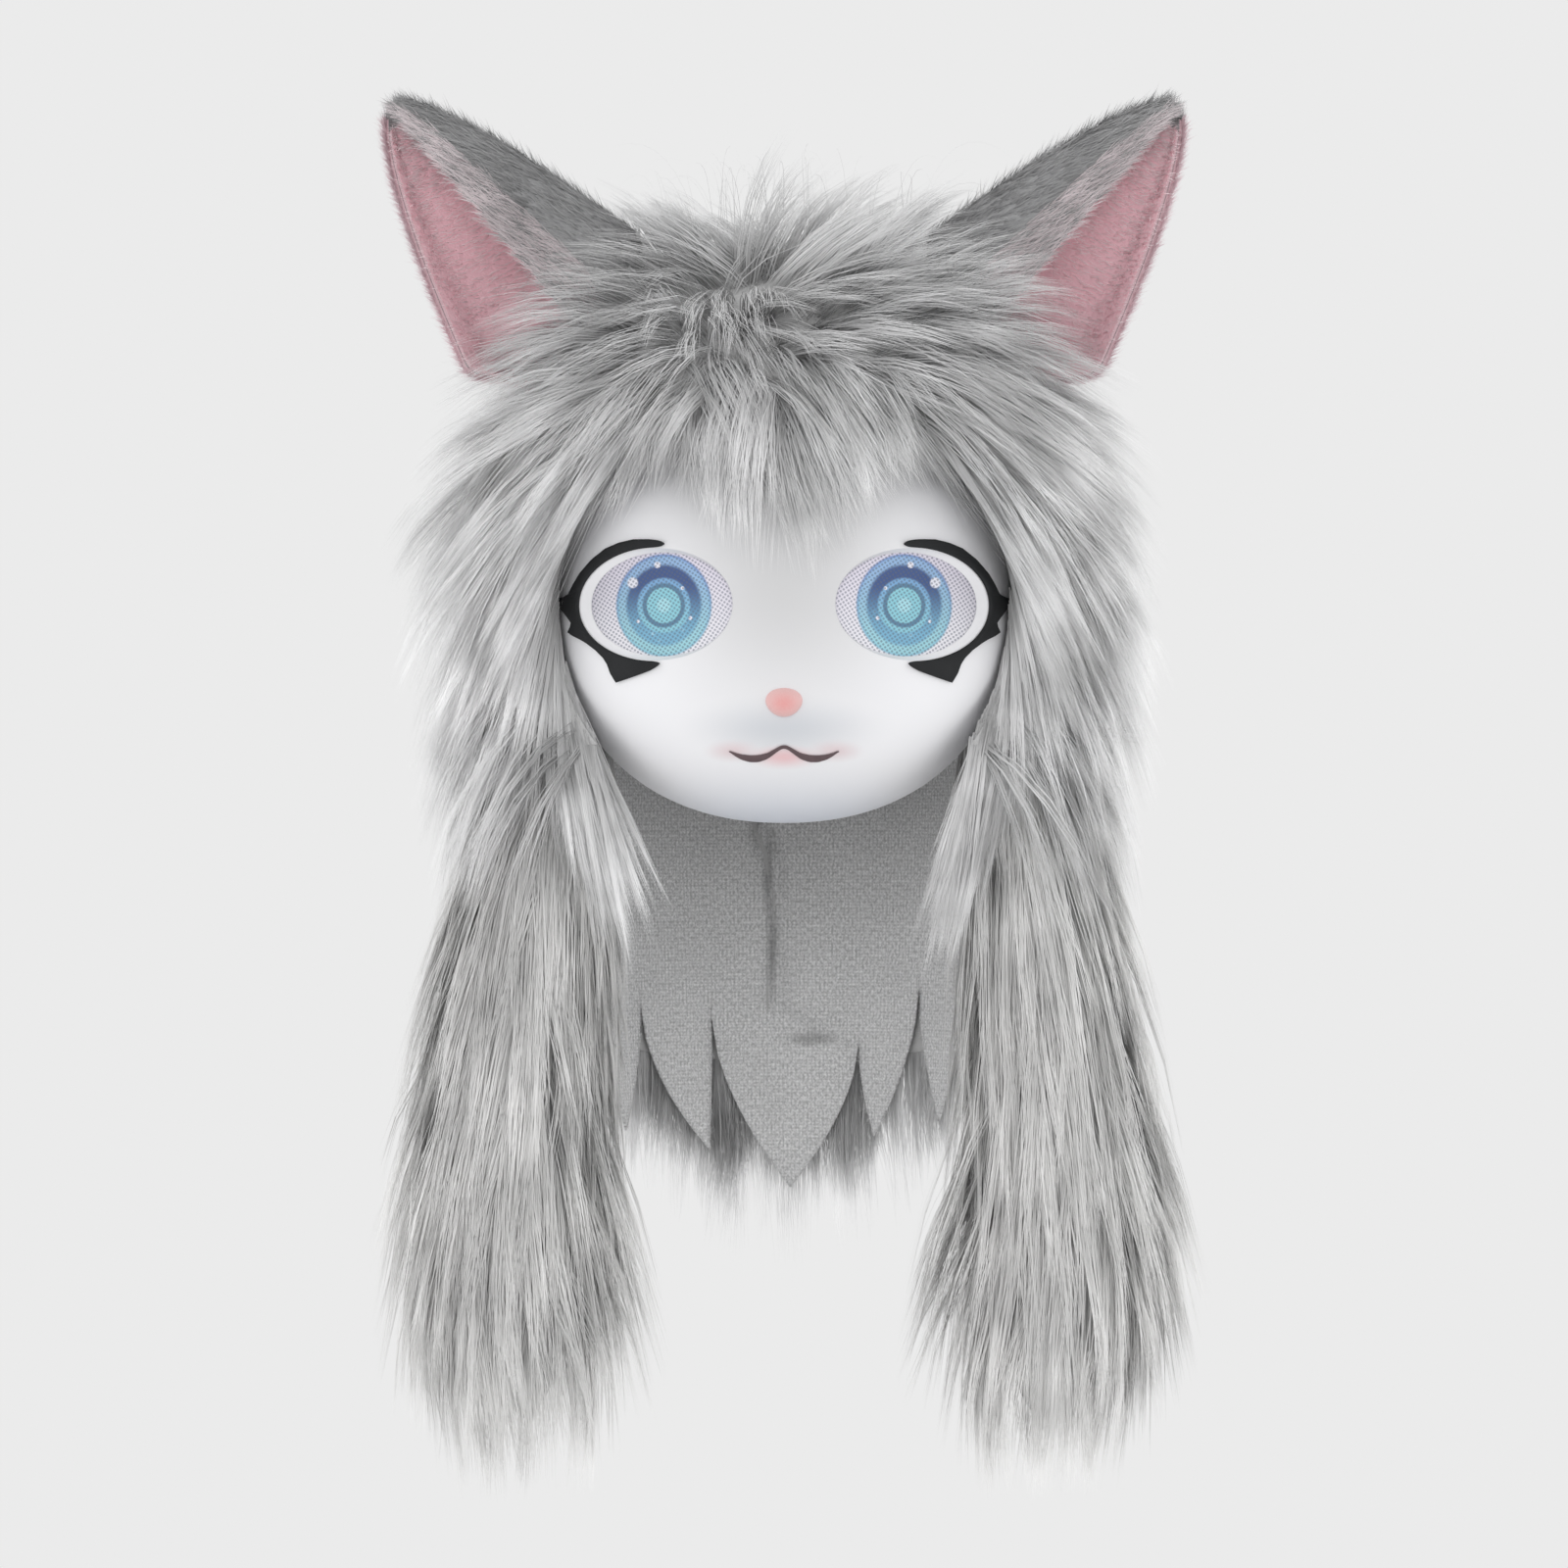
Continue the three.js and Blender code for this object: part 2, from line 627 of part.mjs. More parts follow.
// Forelocks over the brow, from the window's top edge: places across in face half widths,
// tips in face heights under the middle of the hairline, lean of the tip to one side
const FORELOCKS = [
  { at: -0.86, tipAt: -0.98, fall: 0.5, width: 0.8 },
  { at: -0.66, tipAt: -0.84, fall: 0.3, width: 1 },
  { at: -0.46, tipAt: -0.58, fall: 0.42, width: 1 },
  { at: -0.27, tipAt: -0.36, fall: 0.5, width: 1 },
  { at: -0.08, tipAt: -0.12, fall: 0.62, width: 1.1 },
  { at: 0.1, tipAt: 0.13, fall: 0.78, width: 1.1 },
  { at: 0.27, tipAt: 0.32, fall: 0.66, width: 1 },
  { at: 0.46, tipAt: 0.54, fall: 0.46, width: 1 },
  { at: 0.66, tipAt: 0.84, fall: 0.3, width: 1 },
  { at: 0.86, tipAt: 1.0, fall: 0.5, width: 0.8 },
];

function forelocks() {
  return FORELOCKS.map((row) => {
    const level = 0.6 - 0.25 * row.at * row.at;
    const flat = Math.sqrt(1 - level * level);
    const turnX = row.at * 0.85;
    const direction = new THREE.Vector3(turnX * flat, -Math.sqrt(1 - turnX * turnX) * flat, level);
    const root = hoodRoot(direction, HOOD_LOCK_SINK);
    const tip = new THREE.Vector3(
      row.tipAt * FACE_HALF_WIDTH,
      0,
      FACE_CENTRE_Z + FACE_UPPER_HEIGHT * (0.72 - row.fall),
    );
    const front = FACE_RIM_Y - FACE_DEPTH * Math.sqrt(Math.max(0.06, 1 - Math.abs(row.tipAt) ** FACE_FULLNESS));
    tip.y = front - 9;
    const knee = root.clone().lerp(tip, 0.45);
    knee.y = Math.min(root.y, tip.y) - 20;
    const path = new THREE.QuadraticBezierCurve3(root, knee, tip);
    const across = new THREE.Vector3(1, 0.6 * row.at, 0).normalize();
    return lock(path, across, HOOD_LOCK_HALF_WIDTH * row.width, HOOD_LOCK_HALF_THICKNESS * 0.7);
  });
}

// Cheek locks, from the window's sides, in face half heights from its middle: they fall outward
const CHEEK_LOCKS = [
  { up: 0.5, out: 46, fall: 62 },
  { up: 0.22, out: 50, fall: 74 },
  { up: -0.06, out: 50, fall: 84 },
  { up: -0.32, out: 44, fall: 92 },
  { up: -0.54, out: 34, fall: 98 },
];

function cheekLocks(side) {
  return CHEEK_LOCKS.map((row) => {
    const half = FACE_HALF_WIDTH * (1 - Math.abs(row.up) ** FACE_SQUARENESS) ** (1 / FACE_SQUARENESS);
    const root = new THREE.Vector3(
      side * (half + 12),
      FACE_RIM_Y + 10,
      FACE_CENTRE_Z + row.up * FACE_LOWER_HEIGHT,
    );
    const tip = root.clone().add(new THREE.Vector3(side * row.out, 4, -row.fall));
    const knee = root.clone().add(new THREE.Vector3(side * 0.5 * row.out, -26, -0.3 * row.fall));
    const across = new THREE.Vector3(0.8 * side, -0.5, 0.3).normalize();
    const path = new THREE.QuadraticBezierCurve3(root, knee, tip);
    return lock(path, across, HOOD_LOCK_HALF_WIDTH, HOOD_LOCK_HALF_THICKNESS);
  });
}

// Jersey cap: the hood's inside, open below and at the face
function hoodLining() {
  const cap = hoodForm(JERSEY).subtract(hoodForm({ side: 0, back: 0, top: 0 }, 1.1));
  const opening = prism(windowOutline(CLEARANCE + 1), FRONT_Y, FACE_RIM_Y + CLEARANCE);
  return largestBody(cap.subtract(opening));
}

// Fur hood: padded pelt with its locks, cut clear of the face, the ears and the tresses
function hoodFur(tresses) {
  const pelt = hoodForm(PELT).subtract(hoodForm(grown(JERSEY, CLEARANCE), 1.1));
  const opening = prism(windowOutline(CLEARANCE), FRONT_Y, FACE_RIM_Y + CLEARANCE);
  const locks = fused([...hoodLocks(), ...hemLocks(), ...forelocks(), ...cheekLocks(-1), ...cheekLocks(1)]);
  const trimmed = locks.subtract(hoodForm(grown(PELT, -2), 2.2));
  const lashes = CLEARANCE + LASH_THICKNESS + CLEARANCE;
  const cutters = [
    faceForm(lashes, CLEARANCE),
    earEnvelope(-1, EAR_WALL),
    earEnvelope(1, EAR_WALL),
    tresses,
  ];
  return largestBody(pelt.subtract(opening).add(trimmed).subtract(fused(cutters)));
}

// Tress: its middle line and width down its length, as shares of its half width
const TRESS_SECTIONS = [
  { down: 0, shift: 0, width: 0.2 },
  { down: 0.08, shift: 0.12, width: 0.42 },
  { down: 0.25, shift: 0.25, width: 0.5 },
  { down: 0.5, shift: 0.36, width: 0.55 },
  { down: 0.72, shift: 0.4, width: 0.6 },
  { down: 0.86, shift: 0.28, width: 0.45 },
  { down: 0.95, shift: 0.24, width: 0.12 },
];

function tressSection(down) {
  const last = TRESS_SECTIONS.length - 1;
  const found = TRESS_SECTIONS.findIndex((row) => row.down >= down);
  const next = TRESS_SECTIONS[found < 1 ? (found < 0 ? last : 1) : found];
  const before = TRESS_SECTIONS[TRESS_SECTIONS.indexOf(next) - 1];
  const share = (down - before.down) / (next.down - before.down);
  return {
    shift: THREE.MathUtils.lerp(before.shift, next.shift, share),
    width: THREE.MathUtils.lerp(before.width, next.width, share),
  };
}

function tressCentre(side, down) {
  const section = tressSection(down);
  return new THREE.Vector3(
    side * (TRESS_SEAT_X + section.shift * TRESS_HALF_WIDTH),
    TRESS_SEAT_Y,
    HEM_Z - CLEARANCE - down * TRESS_LENGTH,
  );
}

function tressCore(side, margin) {
  const profile = [new THREE.Vector2(0, 0)];
  TRESS_SECTIONS.forEach((row) => profile.push(new THREE.Vector2(1, row.down)));
  profile.push(new THREE.Vector2(0, TRESS_SECTIONS[TRESS_SECTIONS.length - 1].down));
  const lathe = new THREE.LatheGeometry(profile, 10);
  return solid(shaped(lathe, (x, y, z) => {
    const section = tressSection(y);
    const centre = tressCentre(side, y);
    return centre.add(new THREE.Vector3(
      x * (section.width * TRESS_HALF_WIDTH + margin),
      z * (section.width * TRESS_HALF_DEPTH + margin),
      0,
    ));
  }));
}

function tressLocks(side, margin) {
  const locks = [];
  const golden = Math.PI * (3 - Math.sqrt(5));
  for (let i = 0; i < TRESS_LOCKS; i += 1) {
    const down = 0.1 + 0.68 * ((i + 0.5) / TRESS_LOCKS);
    const turn = i * golden;
    const section = tressSection(down);
    const out = new THREE.Vector3(side * Math.cos(turn), Math.sin(turn), 0);
    const root = tressCentre(side, down);
    root.x += 0.75 * out.x * section.width * TRESS_HALF_WIDTH;
    root.y += 0.75 * out.y * section.width * TRESS_HALF_DEPTH;
    const spread = 0.5 * TRESS_HALF_WIDTH * (0.75 + 0.25 * scatter(i, 3));
    const rise = spread * (1 - 0.3 * Math.abs(out.y)) * (1 - 0.55 * THREE.MathUtils.smoothstep(down, 0.55, 0.8));
    const run = TRESS_LOCK_RUN * (1 + 0.12 * scatter(i, 4));
    const path = lockPath(root, out, new THREE.Vector3(0, 0, -1), rise, run, 0);
    const across = new THREE.Vector3(-out.y, out.x, 0);
    locks.push(lock(path, across, TRESS_LOCK_HALF_WIDTH + margin, 0.55 * TRESS_LOCK_HALF_WIDTH + margin));
  }
  return locks;
}

function tress(side, margin) {
  return largestBody(fused([tressCore(side, margin), ...tressLocks(side, margin)]));
}

// Neck form: the hem of the hood's cap, hanging on down round the back of the neck
function neckPoint(angle, drop, offset) {
  const narrow = (1 - HEM_TAPER) * (1 - CURTAIN_TAPER * drop / CURTAIN_LENGTH);
  return new THREE.Vector3(
    (HEAD_HALF_WIDTH * narrow + offset) * Math.sin(angle),
    (HEAD_HALF_DEPTH * narrow + offset) * Math.cos(angle),
    HEM_Z - CLEARANCE - drop,
  );
}

// Petals of the curtain, left to right: where each ends and where its tip lies, in shares of the
// curtain's half angle, and how far its tip and the slit after it reach, in curtain lengths
const PETALS = [
  { from: -1, to: -0.735, tipAt: -0.88, tip: 0.86, slit: 0.59 },
  { from: -0.735, to: -0.34, tipAt: -0.36, tip: 0.91, slit: SLIT_SHARE },
  { from: -0.34, to: 0.35, tipAt: 0.03, tip: 1, slit: SLIT_SHARE + 0.06 },
  { from: 0.35, to: 0.675, tipAt: 0.44, tip: 0.88, slit: 0.55 },
  { from: 0.675, to: 1, tipAt: 0.85, tip: 0.84, slit: 0.6 },
];
const PETAL_STEPS = [0, 0.08, 0.42, 1];
const PETAL_ROUNDING = 0.6;
const SLIT_GAP_SHARE = 0.006;

// Columns across the curtain, each with its angle and how far down it hangs
function curtainColumns() {
  const columns = [];
  const limit = CURTAIN_HALF_ANGLE * Math.PI / 180;
  let before = PETALS[PETALS.length - 1].slit;
  const column = (petal, end, share, start) => {
    const at = end + (petal.tipAt - end) * share + (share === 0 && end === petal.from ? SLIT_GAP_SHARE : 0);
    columns.push({ angle: at * limit, hang: start + (petal.tip - start) * share ** PETAL_ROUNDING });
  };
  PETALS.forEach((petal) => {
    PETAL_STEPS.forEach((share) => column(petal, petal.from, share, before));
    PETAL_STEPS.slice(0, -1).reverse().forEach((share) => column(petal, petal.to, share, petal.slit));
    before = petal.slit;
  });
  return columns;
}

// Jersey curtain: cut in petals with raw edges, hung from the cap's hem
function neckCurtain() {
  const columns = curtainColumns();
  const rows = 3;
  const box = new THREE.BoxGeometry(1, 1, 1, columns.length - 1, rows, 1);
  return solid(shaped(box, (x, y, z) => {
    const column = columns[Math.round((x + 0.5) * (columns.length - 1))];
    const drop = (0.5 - y) * column.hang * CURTAIN_LENGTH;
    return neckPoint(column.angle, drop, z > 0 ? JERSEY_WALL : 0);
  }));
}

// Rows of locks down the nape pelt: how far down they root, how many there are, how far they lift
const NAPE_ROWS = [
  { down: 0.08, count: 5, lift: 1.35 },
  { down: 0.36, count: 5, lift: 1.15 },
  { down: 0.64, count: 5, lift: 0.9 },
  { down: 0.93, count: 7, lift: 0.3 },
];

function napeLength(angle) {
  const limit = CURTAIN_HALF_ANGLE * Math.PI / 180;
  return NAPE_PELT_LENGTH * (1 - 0.12 * (angle / limit) ** 2);
}

function napeLocks(offset) {
  const limit = CURTAIN_HALF_ANGLE * Math.PI / 180;
  const locks = [];
  NAPE_ROWS.forEach((row, r) => {
    for (let i = 0; i < row.count; i += 1) {
      const angle = limit * 0.88 * (-1 + 2 * (i / (row.count - 1)));
      const root = neckPoint(angle, row.down * napeLength(angle), offset + 0.6 * PELT_WALL);
      const out = new THREE.Vector3(Math.sin(angle), Math.cos(angle), 0);
      const number = r * 10 + i;
      const rise = NAPE_LOCK_RISE * row.lift * (1 + 0.2 * scatter(number, 5));
      const run = NAPE_LOCK_RUN * (1 + 0.15 * scatter(number, 6));
      const path = lockPath(root, out, new THREE.Vector3(0, 0, -1), rise, run, 0);
      const across = new THREE.Vector3(Math.cos(angle), -Math.sin(angle), 0);
      locks.push(lock(path, across, NAPE_LOCK_HALF_WIDTH, NAPE_LOCK_HALF_THICKNESS));
    }
  });
  return fused(locks);
}

// Fur behind the curtain: a pelt with rows of locks, the last of which hang below it
function napeFur(hood, tresses) {
  const limit = CURTAIN_HALF_ANGLE * Math.PI / 180;
  const offset = JERSEY_WALL + 2.2 * CLEARANCE;
  const box = new THREE.BoxGeometry(1, 1, 1, 14, 2, 1);
  const pelt = solid(shaped(box, (x, y, z) => {
    const angle = 2 * x * limit;
    return neckPoint(angle, (0.5 - y) * napeLength(angle), z > 0 ? offset + PELT_WALL : offset);
  }));
  const locks = napeLocks(offset).subtract(neckCore(offset + 0.6));
  return largestBody(pelt.add(locks).subtract(hood).subtract(tresses));
}

// The round space inside the neck form, out to an offset
function neckCore(offset) {
  const profile = [-0.1, 0, 0.8, 1.6].map((down) => new THREE.Vector2(1, down));
  const lathe = new THREE.LatheGeometry(
    [new THREE.Vector2(0, -0.1), ...profile, new THREE.Vector2(0, 1.6)],
    ROUND_STEPS,
  );
  return solid(shaped(lathe, (x, y, z) => {
    const reach = Math.hypot(x, z);
    const point = neckPoint(Math.atan2(x, z), y * CURTAIN_LENGTH, offset);
    return new THREE.Vector3(point.x * reach, point.y * reach, point.z);
  }));
}

// Materials: matte printed shell, black foam, flocking, jersey, short pile and long fur
function material(color, roughness) {
  return new THREE.MeshStandardMaterial({ color, roughness, metalness: 0 });
}

const whiteShell = material(0xdfdee2, 0.55);
const eyePrint = material(0x6f9cbe, 0.6);
const blackFoam = material(0x242627, 0.8);
const pinkFlock = material(0xe6a39d, 0.95);
const mouthBrown = material(0x5a4347, 0.7);
const pinkPile = material(0xd9a3ad, 0.95);
const greyPile = material(0x8c8c8e, 0.95);
const greyJersey = material(0x9e9e9f, 0.95);
const greyFur = material(0xb4b3b3, 0.95);

const head = new THREE.Group();

function piece(name, body, look) {
  const mesh = new THREE.Mesh(geometryOf(body), look);
  mesh.name = name;
  head.add(mesh);
}

const tressRoom = tressCore(-1, TRESS_ROOM).add(tressCore(1, TRESS_ROOM));
const hood = hoodFur(tressRoom);

piece('face_shell', faceShell(), whiteShell);
piece('nose', nose(), pinkFlock);
piece('mouth_line', mouthLine(), mouthBrown);
piece('hood_lining', hoodLining(), greyJersey);
piece('hood_fur', hood, greyFur);
piece('neck_curtain', neckCurtain(), greyJersey);
piece('nape_fur', napeFur(hood, tressRoom), greyFur);

[['left', -1], ['right', 1]].forEach(([name, side]) => {
  piece(`eye_panel_${name}`, eyePanel(side), eyePrint);
  piece(`lash_${name}`, lash(side), blackFoam);
  piece(`ear_${name}`, ear(side), greyPile);
  piece(`ear_lining_${name}`, earLining(side), pinkPile);
  piece(`tress_${name}`, tress(side, 0), greyFur);
});

export default head;
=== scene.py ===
import math

import bmesh
import bpy
import numpy as np
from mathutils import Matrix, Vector
from mathutils.geometry import delaunay_2d_cdt


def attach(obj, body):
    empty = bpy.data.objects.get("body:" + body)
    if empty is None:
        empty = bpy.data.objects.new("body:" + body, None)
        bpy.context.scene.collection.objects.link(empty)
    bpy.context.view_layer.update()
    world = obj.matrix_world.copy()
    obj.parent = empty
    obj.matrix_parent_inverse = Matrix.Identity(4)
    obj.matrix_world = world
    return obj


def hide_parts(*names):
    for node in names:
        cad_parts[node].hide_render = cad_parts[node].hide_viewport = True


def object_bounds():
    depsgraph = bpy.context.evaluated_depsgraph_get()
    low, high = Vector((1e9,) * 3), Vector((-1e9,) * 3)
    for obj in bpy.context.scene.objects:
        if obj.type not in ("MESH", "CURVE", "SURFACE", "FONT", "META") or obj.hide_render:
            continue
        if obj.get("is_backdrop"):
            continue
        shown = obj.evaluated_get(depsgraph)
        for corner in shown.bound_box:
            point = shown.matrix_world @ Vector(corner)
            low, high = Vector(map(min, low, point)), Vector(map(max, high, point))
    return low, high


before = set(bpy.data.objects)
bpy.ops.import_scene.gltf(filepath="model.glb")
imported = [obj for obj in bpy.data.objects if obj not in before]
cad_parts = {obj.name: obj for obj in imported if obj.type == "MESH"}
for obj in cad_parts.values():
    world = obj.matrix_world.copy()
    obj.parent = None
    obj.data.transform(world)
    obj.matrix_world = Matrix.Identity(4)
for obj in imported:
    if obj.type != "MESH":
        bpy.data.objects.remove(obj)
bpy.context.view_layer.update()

MM = 0.001
rng = np.random.default_rng(20)


# THE STUDIO
# The head is seen square from the front, level with its chin, against a seamless pale sweep.
# The light is soft and strongest from both sides, with a broad lamp over the camera and one behind.
def node(tree, kind, inputs=None, **settings):
    """One shader node: its settings, then its sockets by name or number, each a value or another socket."""
    made = tree.nodes.new(kind)
    for key, value in settings.items():
        setattr(made, key, value)
    for key, value in (inputs or {}).items():
        if isinstance(value, bpy.types.NodeSocket):
            tree.links.new(value, made.inputs[key])
        else:
            made.inputs[key].default_value = value
    return made


def remap(tree, value, from_low, from_high, low, high, **settings):
    """A shader value carried from one range to another and held at the ends."""
    sockets = {"Value": value, 1: from_low, 2: from_high, 3: low, 4: high}
    return node(tree, "ShaderNodeMapRange", sockets, **settings).outputs[0]


def mesh_object(name, points, faces, material, uv=None):
    """A smooth mesh from points in metres, faces as rows of point numbers, and an optional UV pair a point."""
    mesh = bpy.data.meshes.new(name)
    mesh.from_pydata(points.reshape(-1, 3).tolist(), [], [list(f) for f in faces])
    mesh.update()
    if uv is not None:
        corner = np.empty(len(mesh.loops), dtype=np.int32)
        mesh.loops.foreach_get("vertex_index", corner)
        layer = mesh.uv_layers.new(name="lay")
        layer.data.foreach_set("uv", uv.reshape(-1, 2)[corner].astype(np.float32).ravel())
    mesh.materials.append(material)
    mesh.polygons.foreach_set("use_smooth", np.ones(len(mesh.polygons), bool))
    piece = bpy.data.objects.new(name, mesh)
    bpy.context.scene.collection.objects.link(piece)
    return piece


def ring_faces(rows, count, wrap=True):
    """Quads between neighbouring rows of a grid of rows by count points, joined round where it wraps."""
    row = np.arange(rows - 1)[:, None] * count
    here = np.arange(count if wrap else count - 1)[None, :]
    there = (here + 1) % count
    quads = np.stack([row + here, row + there, row + count + there, row + count + here], axis=-1)
    return quads.reshape(-1, 4).tolist()


camera_data = bpy.data.cameras.new("camera")
camera_data.sensor_width = 36
away, frame_width = 3.5, 0.816  # metres from the camera to the head, and across the picture there
camera_data.lens = 36 * away / frame_width
camera = bpy.data.objects.new("camera", camera_data)
camera.location = (0, -away, -0.255)
camera.rotation_euler = (math.pi / 2, 0, 0)
bpy.context.scene.collection.objects.link(camera)
bpy.context.scene.camera = camera
bpy.context.scene.view_settings.view_transform = "Standard"

world = bpy.data.worlds.new("studio")
world.use_nodes = True
sky = world.node_tree
sky_place = node(sky, "ShaderNodeTexCoord").outputs["Generated"]
across = node(sky, "ShaderNodeSeparateXYZ", {0: sky_place}).outputs[0]
sideways = node(sky, "ShaderNodeMath", {0: across}, operation="ABSOLUTE").outputs[0]
soft_sides = remap(sky, sideways, 0.0, 1.0, 0.46, 1.30)
sky.links.new(soft_sides, sky.nodes["Background"].inputs["Strength"])
sky.nodes["Background"].inputs["Color"].default_value = (1, 1, 1, 1)
bpy.context.scene.world = world

pale = bpy.data.materials.new("pale_sweep")
pale.use_nodes = True
pale.node_tree.nodes.clear()
glow = node(pale.node_tree, "ShaderNodeEmission", {"Color": (1, 1, 1, 1), "Strength": 0.831})
node(pale.node_tree, "ShaderNodeOutputMaterial", {"Surface": glow.outputs[0]})

# The sweep is a flat floor that turns up into a round wall: radius and height along one profile
around = np.linspace(0, 2 * math.pi, 64, endpoint=False)
bend = np.linspace(0, math.pi / 2, 12)
reach = np.concatenate([[0.01, 2, 4], 5 + 2 * np.sin(bend), [7]])
level = np.concatenate([[0, 0, 0], 2 - 2 * np.cos(bend), [9]]) - 0.66
sweep = np.stack([
    reach[:, None] * np.cos(around),
    reach[:, None] * np.sin(around),
    level[:, None] * np.ones(64),
], axis=-1)
floor = mesh_object("sweep", sweep, ring_faces(len(reach), 64) + [list(range(64))], pale)
floor.visible_diffuse = floor.visible_glossy = floor.visible_shadow = floor.visible_transmission = False
floor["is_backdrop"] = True

for name, place, aim, size, power in (
    ("front_lamp", (-0.15, -3.4, 0.45), (0, 0, -0.25), 2.8, 32),
    ("back_lamp", (0.6, 3.4, 1.2), (0, 0, -0.2), 2.6, 24),
):
    lamp_data = bpy.data.lights.new(name, "AREA")
    lamp_data.size = size
    lamp_data.energy = power
    lamp = bpy.data.objects.new(name, lamp_data)
    lamp.location = place
    lamp.rotation_euler = (Vector(aim) - Vector(place)).to_track_quat("-Z", "Y").to_euler()
    lamp.visible_camera = False
    bpy.context.scene.collection.objects.link(lamp)


# THE FACE
# A hard cat face, moulded 3 mm thick in matte white plastic, with a soft muzzle and hollows at the eyes.
# Both eye openings are cut through it, and a blush is sprayed under the lip. Painted shade darkens its middle,
# its brow under the fringe, the place under the nose and the chin.
FACE = {"half_width": 117, "upper": 104, "lower": 112, "depth": 84, "wall": 3, "rim_y": -42, "centre_z": -163}
SQUARENESS = 2.2
FULLNESS = 2.7
LOOP_POINTS, RINGS = 96, 42  # points round an eye opening, and rings of points over the face
EYE = {"spacing": 64.5, "rise": -1.5, "half_width": 38.5, "half_height": 28}


def face_reach(x, z):
    """How near the rim a front-view point is: the 2.2-power sum of its shares of the half width and height."""
    up = z - FACE["centre_z"]
    tall = np.where(up > 0, FACE["upper"], FACE["lower"])
    return (np.abs(x / FACE["half_width"]) ** SQUARENESS + np.abs(up / tall) ** SQUARENESS) ** (1 / SQUARENESS)


def face_front(x, z):
    """The face's y: the rim's, less its depth times the root of 1 - reach^2.7, with bell-shaped eye hollows
    and muzzle."""
    share = np.minimum(face_reach(x, z), 1)
    up = z - FACE["centre_z"]
    muzzle = np.exp(-(x / 34) ** 2 - ((up + 66) / 34) ** 2)
    socket = np.exp(-((np.abs(x) - EYE["spacing"]) / 30) ** 2 - ((up - 1) / 30) ** 2)
    crown = np.sqrt(np.maximum(0, 1 - share ** FULLNESS))
    return FACE["rim_y"] - FACE["depth"] * crown + (1 - share ** 4) * (4 * socket - 7 * muzzle)


def face_point(x, z, off):
    """The point a height off the face over a front-view place, along the slope's normal, in millimetres."""
    step = 0.4
    last_share = 0.9985  # past this the slope is read from just inside, since it's endless at the rim
    share = face_reach(x, z)
    inside = np.minimum(1, last_share / np.maximum(share, 1e-6))
    x_in, z_in = x * inside, FACE["centre_z"] + (z - FACE["centre_z"]) * inside
    slope_x = (face_front(x_in + step, z_in) - face_front(x_in - step, z_in)) / (2 * step)
    slope_z = (face_front(x_in, z_in + step) - face_front(x_in, z_in - step)) / (2 * step)
    normal = np.stack([slope_x, -np.ones_like(slope_x), slope_z], axis=-1)
    normal /= np.linalg.norm(normal, axis=-1, keepdims=True)
    at_rim = (share > last_share)[..., None]
    flat = normal * [1, 0, 1]
    flat /= np.maximum(np.linalg.norm(flat, axis=-1, keepdims=True), 1e-9)
    normal = np.where(at_rim, flat, normal)
    return np.stack([x, face_front(x, z), z], axis=-1) + off * normal


def polar_to_front(slope, angle):
    """A front-view place from a slope off the face's middle and an angle round it, on the same superellipse."""
    power = 2 / SQUARENESS
    tall = np.where(np.sin(angle) > 0, FACE["upper"], FACE["lower"])
    across = np.sin(slope) * FACE["half_width"] * np.sign(np.cos(angle)) * np.abs(np.cos(angle)) ** power
    up = np.sin(slope) * tall * np.sign(np.sin(angle)) * np.abs(np.sin(angle)) ** power
    return across, FACE["centre_z"] + up


def front_to_polar(x, z):
    """The reverse: a front-view place as a pair whose length is its slope, so the steep rim isn't crowded."""
    share = np.maximum(np.minimum(face_reach(x, z), 1), 1e-9)
    up = z - FACE["centre_z"]
    tall = np.where(up > 0, FACE["upper"], FACE["lower"])
    across = np.sign(x) * np.abs(x / FACE["half_width"] / share) ** (SQUARENESS / 2)
    rise = np.sign(up) * np.abs(up / tall / share) ** (SQUARENESS / 2)
    return np.stack([np.arcsin(share) * across, np.arcsin(share) * rise], axis=-1)


def eye_loop(side, grow, shift=0.0):
    """An ellipse round an eye opening, grown by a margin and shifted towards the nose."""
    turn = np.linspace(0, 2 * math.pi, LOOP_POINTS, endpoint=False)
    x = side * (EYE["spacing"] - shift) + (EYE["half_width"] + grow) * np.cos(turn)
    return x, FACE["centre_z"] + EYE["rise"] + (EYE["half_height"] + grow) * np.sin(turn)


